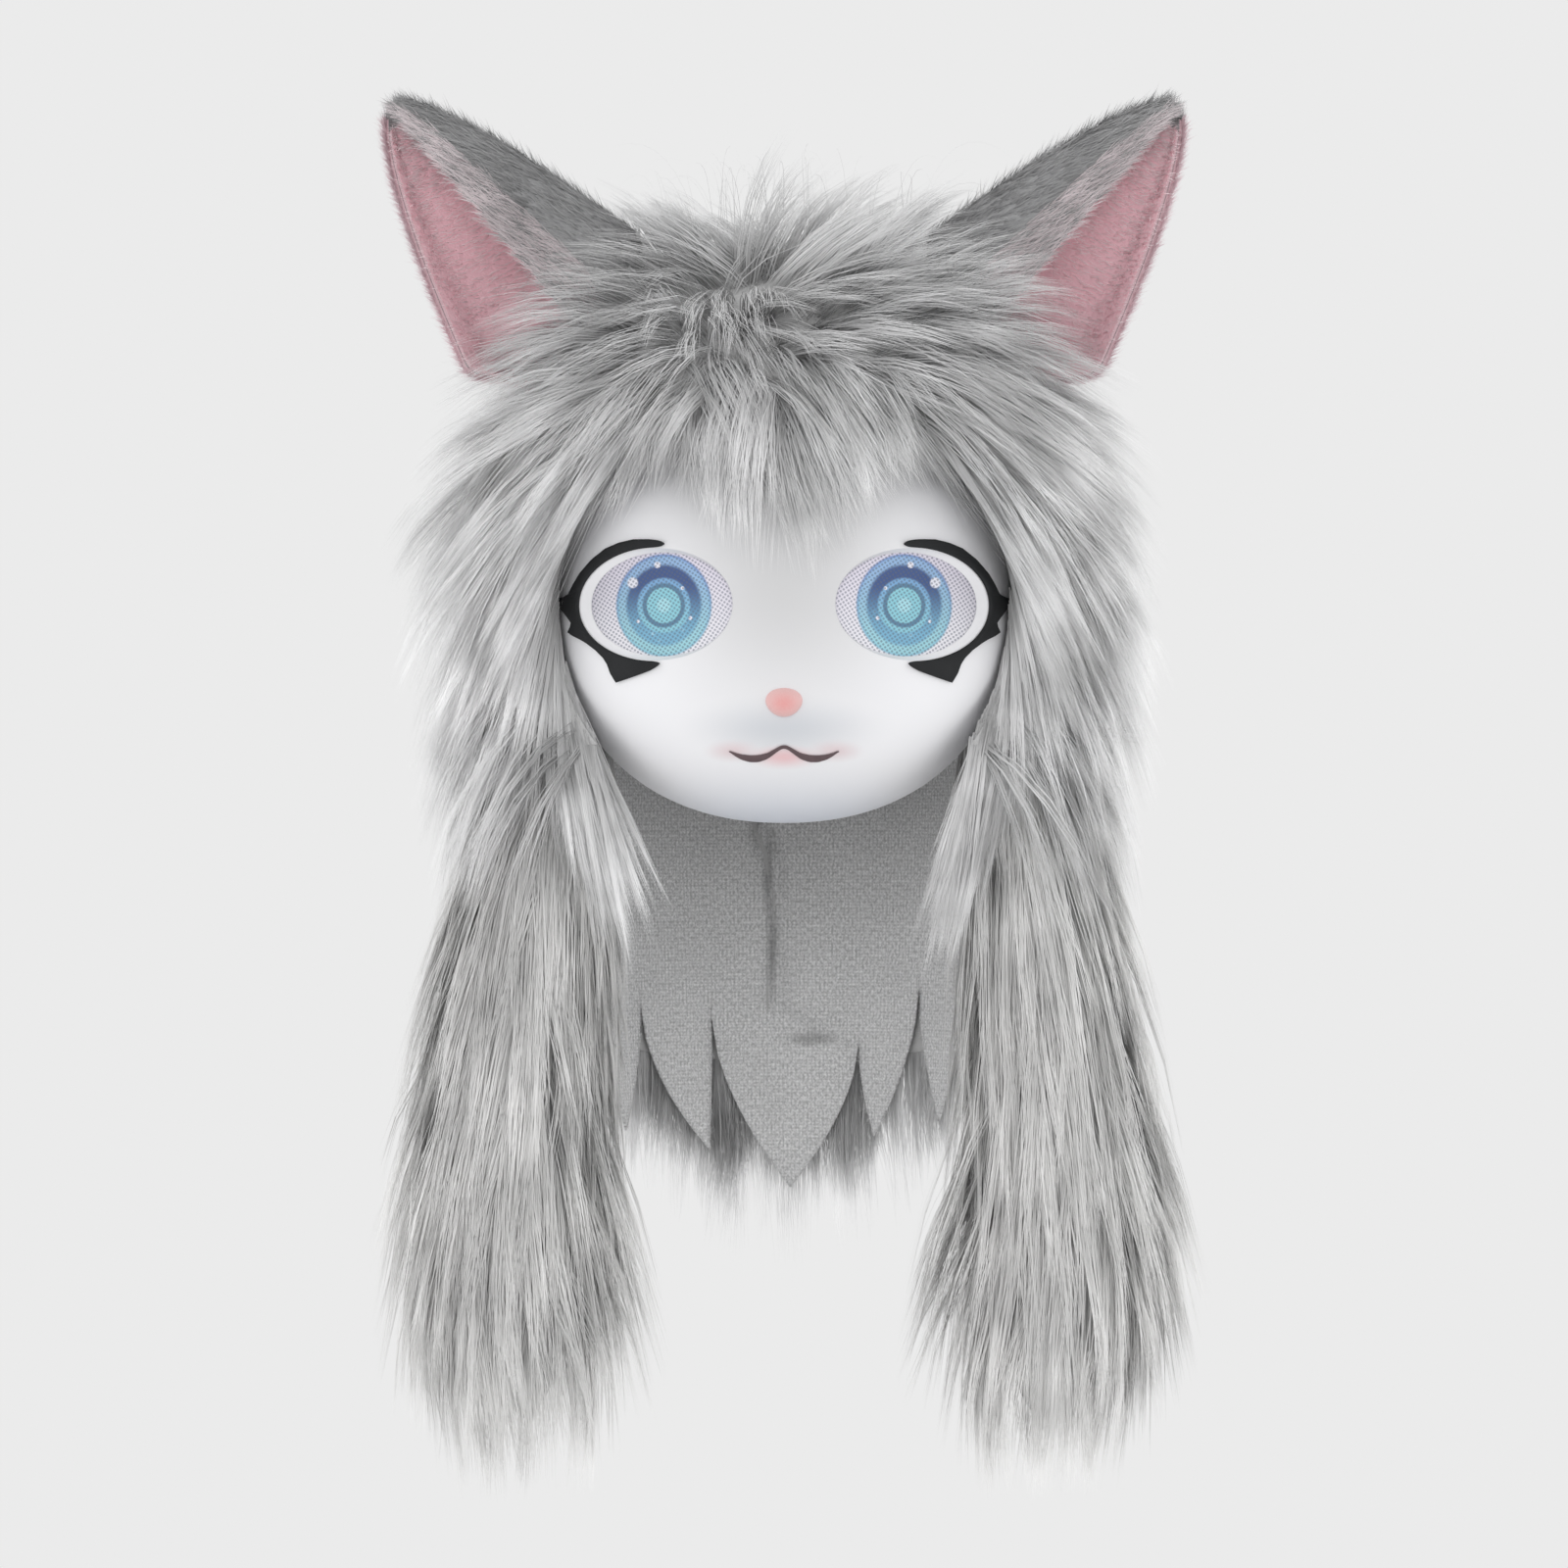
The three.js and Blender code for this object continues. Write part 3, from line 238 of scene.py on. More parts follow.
def holed_sheet(loops):
    """Triangles over the whole face but for the holes in the loops: rings of points and the loops, joined
    by Delaunay."""
    in_ring = [max(6 * k, 1) for k in range(RINGS + 1)]
    slopes = np.concatenate([np.full(count, k / RINGS * math.pi / 2) for k, count in enumerate(in_ring)])
    angles = np.concatenate([np.arange(count) / count * 2 * math.pi for count in in_ring])
    x, z = polar_to_front(slopes, angles)
    keep = np.ones(len(x), bool)
    for loop_x, loop_z in loops:
        middle = np.array([loop_x.mean(), loop_z.mean()])
        half = np.array([np.ptp(loop_x), np.ptp(loop_z)]) / 2
        near = ((x - middle[0]) / (half[0] + 1.4)) ** 2 + ((z - middle[1]) / (half[1] + 1.4)) ** 2
        keep &= near > 1
    x, z, first = x[keep], z[keep], int(keep.sum())
    edges = []
    for loop_x, loop_z in loops:
        count = len(loop_x)
        edges += [(first + i, first + (i + 1) % count) for i in range(count)]
        x, z, first = np.append(x, loop_x), np.append(z, loop_z), first + count
    flat = front_to_polar(x, z)
    _, _, triangles, _, _, _ = delaunay_2d_cdt([Vector(p) for p in flat.tolist()], edges, [], 0, 1e-7)
    triangles = np.array(triangles)
    mid_x, mid_z = x[triangles].mean(axis=1), z[triangles].mean(axis=1)
    solid = np.ones(len(triangles), bool)
    for loop_x, loop_z in loops:
        half = np.array([np.ptp(loop_x), np.ptp(loop_z)]) / 2
        solid &= ((mid_x - loop_x.mean()) / half[0]) ** 2 + ((mid_z - loop_z.mean()) / half[1]) ** 2 > 1
    return x, z, triangles[solid], int(keep.sum())


def noise(tree, place, scale, detail, **sockets):
    """Soft noise at a scale in patches a metre, from 0 to 1."""
    sockets.update({"Vector": place, "Scale": scale, "Detail": detail})
    return node(tree, "ShaderNodeTexNoise", sockets).outputs["Fac"]


def relief(tree, shader, height, strength, distance, **settings):
    """Gives a shader a bump of that strength and depth, in metres."""
    sockets = {"Height": height, "Strength": strength, "Distance": distance}
    bump = node(tree, "ShaderNodeBump", sockets, **settings)
    tree.links.new(bump.outputs[0], shader.inputs["Normal"])


def face_outwards(piece):
    """Turns every face of a closed piece to point out."""
    work = bmesh.new()
    work.from_mesh(piece.data)
    bmesh.ops.recalc_face_normals(work, faces=work.faces)
    work.to_mesh(piece.data)
    work.free()


def spot(tree, place, centre, size):
    """A soft round mask: 1 at the centre, falling smoothly to 0 at the size, both in millimetres."""
    middle = [c * MM for c in centre]
    inverse = [1 / (s * MM) if s else 0 for s in size]
    shifted = node(tree, "ShaderNodeVectorMath", {0: place, 1: middle}, operation="SUBTRACT")
    scaled = node(tree, "ShaderNodeVectorMath", {0: shifted.outputs[0], 1: inverse}, operation="MULTIPLY")
    length = node(tree, "ShaderNodeVectorMath", {0: scaled.outputs[0]}, operation="LENGTH")
    return remap(tree, length.outputs["Value"], 1.0, 0.0, 0.0, 1.0, interpolation_type="SMOOTHSTEP")


def blend(tree, share, low, high):
    """A colour between low and high by a share."""
    mix = node(tree, "ShaderNodeMix", data_type="RGBA")
    for index, value in ((0, share), (6, low), (7, high)):
        if isinstance(value, bpy.types.NodeSocket):
            tree.links.new(value, mix.inputs[index])
        else:
            mix.inputs[index].default_value = value
    return mix.outputs[2]


def matter(name, roughness, **sockets):
    """A surface with fixed socket values, with its tree, its shader and the place on the head, in metres."""
    made = bpy.data.materials.new(name)
    made.use_nodes = True
    shader = made.node_tree.nodes["Principled BSDF"]
    shader.inputs["Roughness"].default_value = roughness
    for key, value in sockets.items():
        shader.inputs[key.replace("_", " ")].default_value = value
    return made, made.node_tree, shader, node(made.node_tree, "ShaderNodeTexCoord").outputs["Object"]


def paint(tree, shader, colour):
    """Gives a shader its colour."""
    tree.links.new(colour, shader.inputs["Base Color"])


white_shell, tree, shader, place = matter("white_shell", 0.5, IOR=1.46)
fine = noise(tree, place, 900, 3)
broad = noise(tree, place, 16, 2)
body = blend(tree, broad, (0.86, 0.86, 0.885, 1), (0.89, 0.89, 0.91, 1))
# The first four spots are painted shade; the blushes and the lip are the face's own pink spray.
for centre, size, shade in (
    ((0, -120, -150), (95, 200, 110), (0.61, 0.61, 0.618, 1)),  # painted shade over the middle of the face, so that its edges read brighter
    ((0, -118, -96), (95, 200, 62), (0.56, 0.56, 0.565, 1)),  # painted shadow of the fringe on the brow
    ((0, -60, -290), (110, 90, 62), (0.66, 0.70, 0.78, 1)),  # painted cool shade on the chin, which faces down
    ((0, -125, -227), (60, 60, 19), (0.63, 0.65, 0.685, 1)),  # painted shadow under the nose
    ((-26, -118, -238.5), (17, 60, 7), (0.76, 0.64, 0.66, 1)),  # a blush at each corner of the mouth
    ((26, -118, -238.5), (17, 60, 7), (0.76, 0.64, 0.66, 1)),
    ((0, -122, -241.5), (22, 60, 7.5), (0.82, 0.54, 0.56, 1)),  # the lip
):
    body = blend(tree, spot(tree, place, centre, size), body, shade)
paint(tree, shader, body)
tree.links.new(remap(tree, fine, 0.0, 1.0, 0.46, 0.62), shader.inputs["Roughness"])
relief(tree, shader, fine, 0.08, 0.0003)

# The outer skin ends 0.9 mm outside each opening, turns in over a small round, and a sloped wall
# runs from there to a smaller loop on the inner skin, 1.5 mm nearer the nose
skins = []
for off, grow, shift in ((0, 0.9, 0), (-FACE["wall"], -1.6, 1.5)):
    loops = [eye_loop(side, grow, shift) for side in (-1, 1)]
    x, z, triangles, loops_at = holed_sheet(loops)
    skins.append((face_point(x, z, off), triangles, loops_at))
outer, inner = skins
points = [outer[0], inner[0]]
inner_first = len(outer[0])
faces = outer[1].tolist() + (inner[1][:, ::-1] + inner_first).tolist()
first = inner_first + len(inner[0])
for number, side in enumerate((-1, 1)):
    from_outer = outer[2] + LOOP_POINTS * number
    from_inner = inner_first + inner[2] + LOOP_POINTS * number
    rounds = [face_point(*eye_loop(side, grow), off) for grow, off in ((0.25, -0.22), (0, -0.9))]
    points += rounds
    rows = [np.arange(LOOP_POINTS) + start for start in (from_outer, first, first + LOOP_POINTS, from_inner)]
    first += 2 * LOOP_POINTS
    for low, high in zip(rows[:-1], rows[1:]):
        faces += np.stack([low, np.roll(low, -1), np.roll(high, -1), high], axis=-1).tolist()
rim_count = 6 * RINGS
outer_rim = np.arange(outer[2] - rim_count, outer[2])
inner_rim = np.arange(inner[2] - rim_count, inner[2]) + inner_first
faces += np.stack([outer_rim, np.roll(outer_rim, -1), np.roll(inner_rim, -1), inner_rim], axis=-1).tolist()

face_shell = mesh_object("face", np.concatenate(points) * MM, faces, white_shell)
face_outwards(face_shell)
face_shell.data.set_sharp_from_angle(angle=math.radians(50))
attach(face_shell, "root")
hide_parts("face_shell")


# THE EYE PANELS
# Perforated vinyl mesh, printed with a round blue iris on a faint pink white, glued behind each opening.
# The wearer sees out through its slanting rows of pin holes.
def times(tree, first, second):
    """The product of two shader values."""
    return node(tree, "ShaderNodeMath", {0: first, 1: second}, operation="MULTIPLY").outputs[0]


def closed_tube(name, rings, material):
    """A closed skin over rings of points in millimetres, each joined round, the first and last filled in."""
    rows, count = rings.shape[:2]
    caps = [list(range(count)), list(range((rows - 1) * count, rows * count))]
    piece = mesh_object(name, rings * MM, ring_faces(rows, count) + caps, material)
    face_outwards(piece)
    return piece


def laid_on_face(x, z, height):
    """Points a height off the face for each front-view place, along its own normal there."""
    ground = face_point(x, z, 0)
    return ground + (face_point(x, z, 1) - ground) * height[..., None]


def eye_matter(side):
    """The print, in millimetres from the iris's middle: rings by distance, a shade downwards, glints, holes."""
    made, tree, shader, place = matter(f"eye_mesh_{'left' if side < 0 else 'right'}", 0.55)
    iris = (side * 60.6, 0, FACE["centre_z"] + EYE["rise"] - 0.5)
    middle = [c * MM for c in iris]
    local = node(tree, "ShaderNodeVectorMath", {0: place, 1: middle}, operation="SUBTRACT").outputs[0]
    parts = node(tree, "ShaderNodeSeparateXYZ", {0: local}).outputs

    def ring(half_x, half_z, soft=0.03):
        """1 inside an ellipse of those half sizes round the iris's middle, 0 outside it."""
        scaled = node(tree, "ShaderNodeVectorMath", {0: local, 1: (1 / (half_x * MM), 0, 1 / (half_z * MM))},
                      operation="MULTIPLY")
        length = node(tree, "ShaderNodeVectorMath", {0: scaled.outputs[0]}, operation="LENGTH").outputs["Value"]
        return remap(tree, length, 1 + soft, 1 - soft, 0.0, 1.0, interpolation_type="SMOOTHSTEP")

    def upward(low, high):
        """0 at a low height over the iris's middle, rising smoothly to 1 at a high one."""
        return remap(tree, parts[2], low * MM, high * MM, 0.0, 1.0, interpolation_type="SMOOTHSTEP")

    colour = blend(tree, upward(-26, 26), (0.84, 0.83, 0.88, 1), (0.74, 0.70, 0.80, 1))
    rim = blend(tree, upward(-24, 20), (0.24, 0.52, 0.66, 1), (0.16, 0.27, 0.55, 1))
    colour = blend(tree, ring(24.2, 25.8), colour, rim)
    light = blend(tree, upward(-22, 22), (0.34, 0.64, 0.72, 1), (0.30, 0.47, 0.72, 1))
    colour = blend(tree, ring(23.2, 24.8), colour, light)
    inner = blend(tree, upward(-16, 12), (0.19, 0.44, 0.62, 1), (0.045, 0.09, 0.25, 1))
    colour = blend(tree, ring(19.0, 20.4, 0.06), colour, inner)
    flecks = node(tree, "ShaderNodeTexVoronoi", {"Vector": local, "Scale": 210.0, "Randomness": 1.0})
    fleck = remap(tree, flecks.outputs["Distance"], 0.26, 0.1, 0.0, 0.75)
    low_down = times(tree, fleck, upward(2, -14))
    colour = blend(tree, times(tree, low_down, ring(18.6, 20.0)), colour, (0.42, 0.70, 0.84, 1))
    halo = blend(tree, upward(-12, 12), (0.26, 0.58, 0.70, 1), (0.20, 0.40, 0.66, 1))
    for half_x, half_z, soft, shade in (
        (13.4, 13.8, 0.05, halo), (10.8, 11.2, 0.05, (0.10, 0.22, 0.34, 1)),
        (8.6, 9.0, 0.05, (0.27, 0.60, 0.70, 1)), (3.4, 3.6, 0.3, (0.40, 0.72, 0.80, 1)),
    ):
        colour = blend(tree, ring(half_x, half_z, soft), colour, shade)
    glints = (-15.8, 11.6, 3.6), (-3.2, 20.4, 2.2), (9.5, 8.6, 1.2), (13.5, -6.5, 1.3), (-13.0, -8.0, 1.1)
    for across, up, size in glints:
        centre = (iris[0] - side * across, 0, iris[2] + up)
        glint = spot(tree, place, centre, (size, 0, size))
        hard = remap(tree, glint, 0.05, 0.3, 0.0, 1.0)
        colour = blend(tree, hard, colour, (0.80, 0.80, 0.88, 1))
    flat = node(tree, "ShaderNodeCombineXYZ", {0: parts[0], 1: parts[2]}).outputs[0]
    turned = node(tree, "ShaderNodeMapping", {"Vector": flat, "Rotation": (0, 0, math.radians(-33 * side))})
    holes = node(tree, "ShaderNodeTexVoronoi", {"Vector": turned.outputs[0], "Scale": 560.0, "Randomness": 0.0},
                 voronoi_dimensions="2D")
    pit = remap(tree, holes.outputs["Distance"], 0.42, 0.22, 0.0, 1.0)
    dots = times(tree, pit, 0.62)
    colour = blend(tree, dots, colour, (0.10, 0.12, 0.17, 1))
    paint(tree, shader, colour)
    relief(tree, shader, pit, 0.35, 0.0003, invert=True)
    return made


for side, name in ((-1, "left"), (1, "right")):
    turn = np.linspace(0, 2 * math.pi, 112, endpoint=False)
    share = np.concatenate([np.linspace(0.02, 1, 22), np.linspace(1, 0.02, 12)])[:, None]
    depth = np.concatenate([np.full(22, -3.35), np.full(12, -4.55)])[:, None]
    x = side * EYE["spacing"] + share * (EYE["half_width"] + 5.8) * np.cos(turn)
    z = FACE["centre_z"] + EYE["rise"] + share * (EYE["half_height"] + 5.8) * np.sin(turn)
    eye = closed_tube(f"eye_{name}", laid_on_face(x, z, depth), eye_matter(side))
    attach(eye, "root")
    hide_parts(f"eye_panel_{name}")


# THE LASHES
# Two millimetre black foam, cut by hand round the outer side of each eye and glued on.
# A thin upper band swells to a corner, a small barb and a fang under the eye.
LASH_EDGE = np.array([  # across and up, in shares of the eye's half width and height
    (-0.12, 1.15), (0.10, 1.165), (0.286, 1.165), (0.47, 1.11), (0.65, 1.01), (0.83, 0.82), (0.99, 0.57),
    (1.075, 0.38), (1.141, 0.20), (1.24, 0.145), (1.333, 0.128), (1.247, -0.047), (1.17, -0.18),
    (1.099, -0.31), (1.11, -0.38), (1.15, -0.474), (1.077, -0.544), (0.98, -0.61), (0.885, -0.69),
    (0.77, -0.81), (0.67, -0.953), (0.62, -1.07), (0.586, -1.216), (0.509, -1.391), (0.38, -1.335),
    (0.244, -1.275), (0.09, -1.20), (-0.055, -1.11),
])
black_foam, tree, shader, place = matter("black_foam", 0.82, Specular_IOR_Level=0.3)
cells = noise(tree, place, 1400, 2)
cloudy = noise(tree, place, 60, 2)
paint(tree, shader, blend(tree, cloudy, (0.012, 0.013, 0.014, 1), (0.026, 0.027, 0.029, 1)))
relief(tree, shader, cells, 0.5, 0.0003)
for side, name in ((-1, "left"), (1, "right")):
    # Along the cut edge, the inner edge lies at the same angle on the eye's own ellipse; the section
    # between them is a flat strip whose two edges are rounded over
    steps = np.linspace(0, len(LASH_EDGE) - 1, 150)
    edge = np.stack([np.interp(steps, np.arange(len(LASH_EDGE)), LASH_EDGE[:, k]) for k in (0, 1)], axis=-1)
    angle = np.arctan2(edge[:, 1], edge[:, 0])
    angle = np.linspace(angle[0] + 0.01, angle[-1] - 0.01, 150) * 0.3 + angle * 0.7
    inside = np.stack([np.cos(angle), np.sin(angle)], axis=-1) * 1.02
    round_share = np.array([0, 0.0, 0.06, 0.16, 0.84, 0.94, 1, 1.0])
    round_height = np.array([0.35, 1.6, 2.15, 2.35, 2.35, 2.15, 1.6, 0.35])
    from_end = np.minimum(np.arange(150), np.arange(150)[::-1]) / 5
    blunt = np.sqrt(1 - (1 - np.minimum(from_end, 1)) ** 2 * 0.97)[:, None]
    strip_share = 0.5 + (round_share[None] - 0.5) * blunt
    strip = inside[:, None] + (edge - inside)[:, None] * strip_share[..., None]
    x = side * (EYE["spacing"] + strip[..., 0] * EYE["half_width"])
    z = FACE["centre_z"] + EYE["rise"] + strip[..., 1] * EYE["half_height"]
    foam = closed_tube(f"lash_{name}_foam", laid_on_face(x, z, round_height[None]), black_foam)
    foam.data.set_sharp_from_angle(angle=math.radians(60))
    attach(foam, "root")
    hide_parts(f"lash_{name}")


# THE NOSE AND THE MOUTH
# A small pink flocked button is glued on the muzzle. The mouth is a brown line of raised paint:
# two shallow arcs that meet in a soft point, thinner at the corners.
pink_flock, tree, shader, place = matter("pink_flock", 0.95, Sheen_Weight=0.3, Sheen_Roughness=0.5)
fuzz = noise(tree, place, 1500, 3)
heart = spot(tree, place, (0, -132, -214.5), (10, 14, 8))
tone = blend(tree, heart, (0.76, 0.47, 0.46, 1), (0.77, 0.34, 0.33, 1))
speckle = remap(tree, fuzz, 0.3, 0.7, 0.0, 0.22)
paint(tree, shader, blend(tree, speckle, tone, (0.82, 0.60, 0.58, 1)))
relief(tree, shader, fuzz, 0.6, 0.0004)
nose_z = -214.0
seat = float(face_front(np.array(0.0), np.array(nose_z)))
polar = np.linspace(0.03, math.pi - 0.03, 26)[:, None]
turn = np.linspace(0, 2 * math.pi, 48, endpoint=False)[None]
fat = 1 + 0.05 * np.sin(turn) - 0.03 * np.cos(3 * turn + math.pi / 2)
ball = np.stack([
    9.3 * fat * np.sin(polar) * np.cos(turn),
    seat + 1.2 - 5.6 * np.cos(polar) * np.ones_like(turn),
    nose_z + 7.5 * fat * np.sin(polar) * np.sin(turn),
], axis=-1)
button = closed_tube("nose_button", ball, pink_flock)
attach(button, "root")
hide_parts("nose")

mouth_brown, tree, shader, place = matter("mouth_brown", 0.6)
mottle = noise(tree, place, 260, 3)
paint(tree, shader, blend(tree, mottle, (0.075, 0.048, 0.053, 1), (0.14, 0.09, 0.098, 1)))
along = np.linspace(-1, 1, 90)
MOUTH_CURVE = np.array([  # share to a corner, height over the corners and thickness, in millimetres
    (0, 2.3, 1.7), (0.06, 2.0, 1.8), (0.16, 0.2, 2.3), (0.30, -2.3, 3.0), (0.46, -3.6, 3.5),
    (0.62, -3.7, 3.4), (0.78, -2.8, 2.6), (0.90, -1.4, 1.6), (1.0, 0.2, 0.5),
])
fine_share = np.linspace(0, 1, 200)
curve = [np.convolve(np.pad(np.interp(fine_share, MOUTH_CURVE[:, 0], MOUTH_CURVE[:, k]), 9, mode="edge"),
                     np.ones(19) / 19, mode="valid") for k in (1, 2)]
middle_z = FACE["centre_z"] - 75.4 + np.interp(np.abs(along), fine_share, curve[0])
half = np.interp(np.abs(along), fine_share, curve[1]) / 2
turn = np.linspace(0, 2 * math.pi, 12, endpoint=False)
x = 27.6 * along[:, None] + 0 * turn
z = middle_z[:, None] + half[:, None] * np.cos(turn)
raised = 0.42 + 0.42 * np.sin(turn)[None] * (half / 1.75)[:, None]
mouth = closed_tube("mouth", laid_on_face(x, z, raised), mouth_brown)
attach(mouth, "root")
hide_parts("mouth_line")


# THE HOOD'S LINING AND PELT
# A grey jersey cap lines the hood. Over it goes a long-pile pelt on a padded knit back, open at the face.
# The cap's cut edge and the pelt's back are sewn together at the hem.
HOOD = {"half_width": 110, "half_depth": 108, "crown": 118, "drop": 117}
PELT = {"side": 29.95, "back": 27.95, "top": 14.95}
WIDEST_Z = -118


def hood_place(direction, grow):
    """An ellipsoid over its widest level and a straight wall under it, grown in millimetres at the side, back
    and top."""
    dx, dy, dz = np.moveaxis(direction, -1, 0)
    up = np.where(dz >= 0, dz * (HOOD["crown"] + grow["top"]), dz * HOOD["drop"])
    return np.stack([
        dx * (HOOD["half_width"] + grow["side"]),
        dy * (HOOD["half_depth"] + grow["back"]),
        WIDEST_Z + up,
    ], axis=-1)


def dome_grid(level, turn):
    """Directions on a unit dome by level and turn: full round above, tapering 5 in 100 to the hem below."""
    flat = np.where(level >= 0, np.sqrt(np.maximum(0, 1 - level ** 2)), 1 + 0.05 * level)
    return np.stack([flat * np.cos(turn), flat * np.sin(turn), level + 0 * turn], axis=-1)


def hood_skin(name, outer_grow, inner_grow, material):
    """A closed cap between two dome forms: levels down the outside, round the hem and up the inside."""
    turn = np.linspace(0, 2 * math.pi, 120, endpoint=False)[None]
    above = np.sin(np.linspace(math.pi / 2 - 0.02, 0, 26))
    level = np.concatenate([above, np.linspace(-0.06, -1, 18)])[:, None]
    down = hood_place(dome_grid(level, turn), outer_grow)
    up = hood_place(dome_grid(level[::-1], turn), inner_grow)
    return closed_tube(name, np.concatenate([down, up]), material)


def cut_window(skin, margin):
    """Cuts the face's window through the front of a cap: the face's outline, grown by a margin, pushed back."""
    angle = np.linspace(0, 2 * math.pi, 120, endpoint=False)
    x, z = polar_to_front(np.full(120, math.pi / 2), angle)
    edge = face_point(x, z, margin)
    loop = np.stack([edge, edge], axis=0)
    loop[0, :, 1], loop[1, :, 1] = -230, FACE["rim_y"] + 0.35
    cutter = closed_tube("cutter", loop, skin.data.materials[0])
    away = skin.modifiers.new("window", "BOOLEAN")
    away.operation, away.object, away.solver = "DIFFERENCE", cutter, "EXACT"
    done = bpy.data.meshes.new_from_object(skin.evaluated_get(bpy.context.evaluated_depsgraph_get()))
    skin.modifiers.clear()
    skin.data = done
    bpy.data.objects.remove(cutter)
    skin.data.set_sharp_from_angle(angle=math.radians(45))


def jersey_matter(name, coordinate, light, dark, painted_crease_shade=()):
    """Knit jersey: ribs of small stitches by a fine wave each way, heathered by two scales of noise, with
    painted shade laid in the creases."""
    made, tree, shader, head = matter(name, 0.95, Sheen_Weight=0.15, Sheen_Roughness=0.6)
    rib = 0.00115  # metres from one rib to the next
    place = node(tree, "ShaderNodeUVMap", uv_map="lay").outputs[0] if coordinate == "UV" else head
    wander = node(tree, "ShaderNodeTexNoise", {"Vector": place, "Scale": 90, "Detail": 2})
    moved = node(tree, "ShaderNodeVectorMath", {0: wander.outputs["Color"], 1: (0.0006, 0.0006, 0.0006)},
                 operation="MULTIPLY")
    knit = node(tree, "ShaderNodeVectorMath", {0: place, 1: moved.outputs[0]}, operation="ADD").outputs[0]
    ribs = node(tree, "ShaderNodeTexWave", {"Vector": knit, "Scale": 0.314 / rib / 2, "Distortion": 0.0},
                wave_type="BANDS", bands_direction="X", wave_profile="SIN")
    rows = node(tree, "ShaderNodeTexWave", {"Vector": knit, "Scale": 0.314 / rib / 1.5, "Distortion": 0.0},
                wave_type="BANDS", bands_direction="Y" if coordinate == "UV" else "Z", wave_profile="SIN")
    stitch = times(tree, ribs.outputs["Fac"], rows.outputs["Fac"])
    stretch = (1, 0.6, 1) if coordinate == "UV" else (1, 1, 0.6)
    stretched = node(tree, "ShaderNodeMapping", {"Vector": place, "Scale": stretch})
    fleck = noise(tree, stretched.outputs[0], 760, 3, Roughness=0.75)
    cloud = noise(tree, place, 45, 3)
    heather = remap(tree, fleck, 0.38, 0.62, 0.0, 1.0)
    tone = times(tree, heather, 0.62)
    for part, weight in ((stitch, 0.30), (cloud, 0.16)):
        weighted = times(tree, part, weight)
        tone = node(tree, "ShaderNodeMath", {0: tone, 1: weighted}, operation="ADD").outputs[0]
    colour = blend(tree, tone, dark, light)
    for centre, size in painted_crease_shade:
        # Painted shade: each spot darkens the jersey where shadow falls in a crease.
        crease_shade_share = times(tree, spot(tree, head, centre, size), 0.55)
        colour = blend(tree, crease_shade_share, colour, [0.35 * c for c in dark[:3]] + [1])
    paint(tree, shader, colour)
    relief(tree, shader, tone, 0.6, 0.0005)
    return made


lining_jersey = jersey_matter("lining_jersey", "Object", (0.74, 0.74, 0.745, 1), (0.40, 0.40, 0.405, 1))
lining = hood_skin("hood_cap", {"side": 1.6, "back": 1.6, "top": 1.6}, {"side": 0, "back": 0, "top": 0},
                   lining_jersey)
cut_window(lining, 1.35)
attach(lining, "root")
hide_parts("hood_lining")


def mottled(name, low, high, scale, detail, strength, distance, **sockets):
    """A surface whose fine noise runs between two near colours and stands up as a relief."""
    made, tree, shader, place = matter(name, 0.95, **sockets)
    nap = noise(tree, place, scale, detail)
    paint(tree, shader, blend(tree, nap, low, high))
    relief(tree, shader, nap, strength, distance)
    return made


fur_back = mottled("fur_back", (0.40, 0.40, 0.40, 1), (0.54, 0.54, 0.54, 1), 500, 3, 0.8, 0.001)
pelt = hood_skin("hood_pelt", PELT, {"side": 1.95, "back": 1.95, "top": 1.95}, fur_back)
cut_window(pelt, 0.35)
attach(pelt, "root")


# THE HOOD'S FUR
# Soft grey acrylic pile, up to nine centimetres long, dark at the root and pale at the tip.
# It is combed away from a whorl above the brow, falls down the sides and back, and gathers in locks.
def bent(root, knee, tip, t):
    """The point at a share t of the curve (1-t)^2 root + 2t(1-t) knee + t^2 tip."""
    return (1 - t) ** 2 * root + 2 * t * (1 - t) * knee + t ** 2 * tip


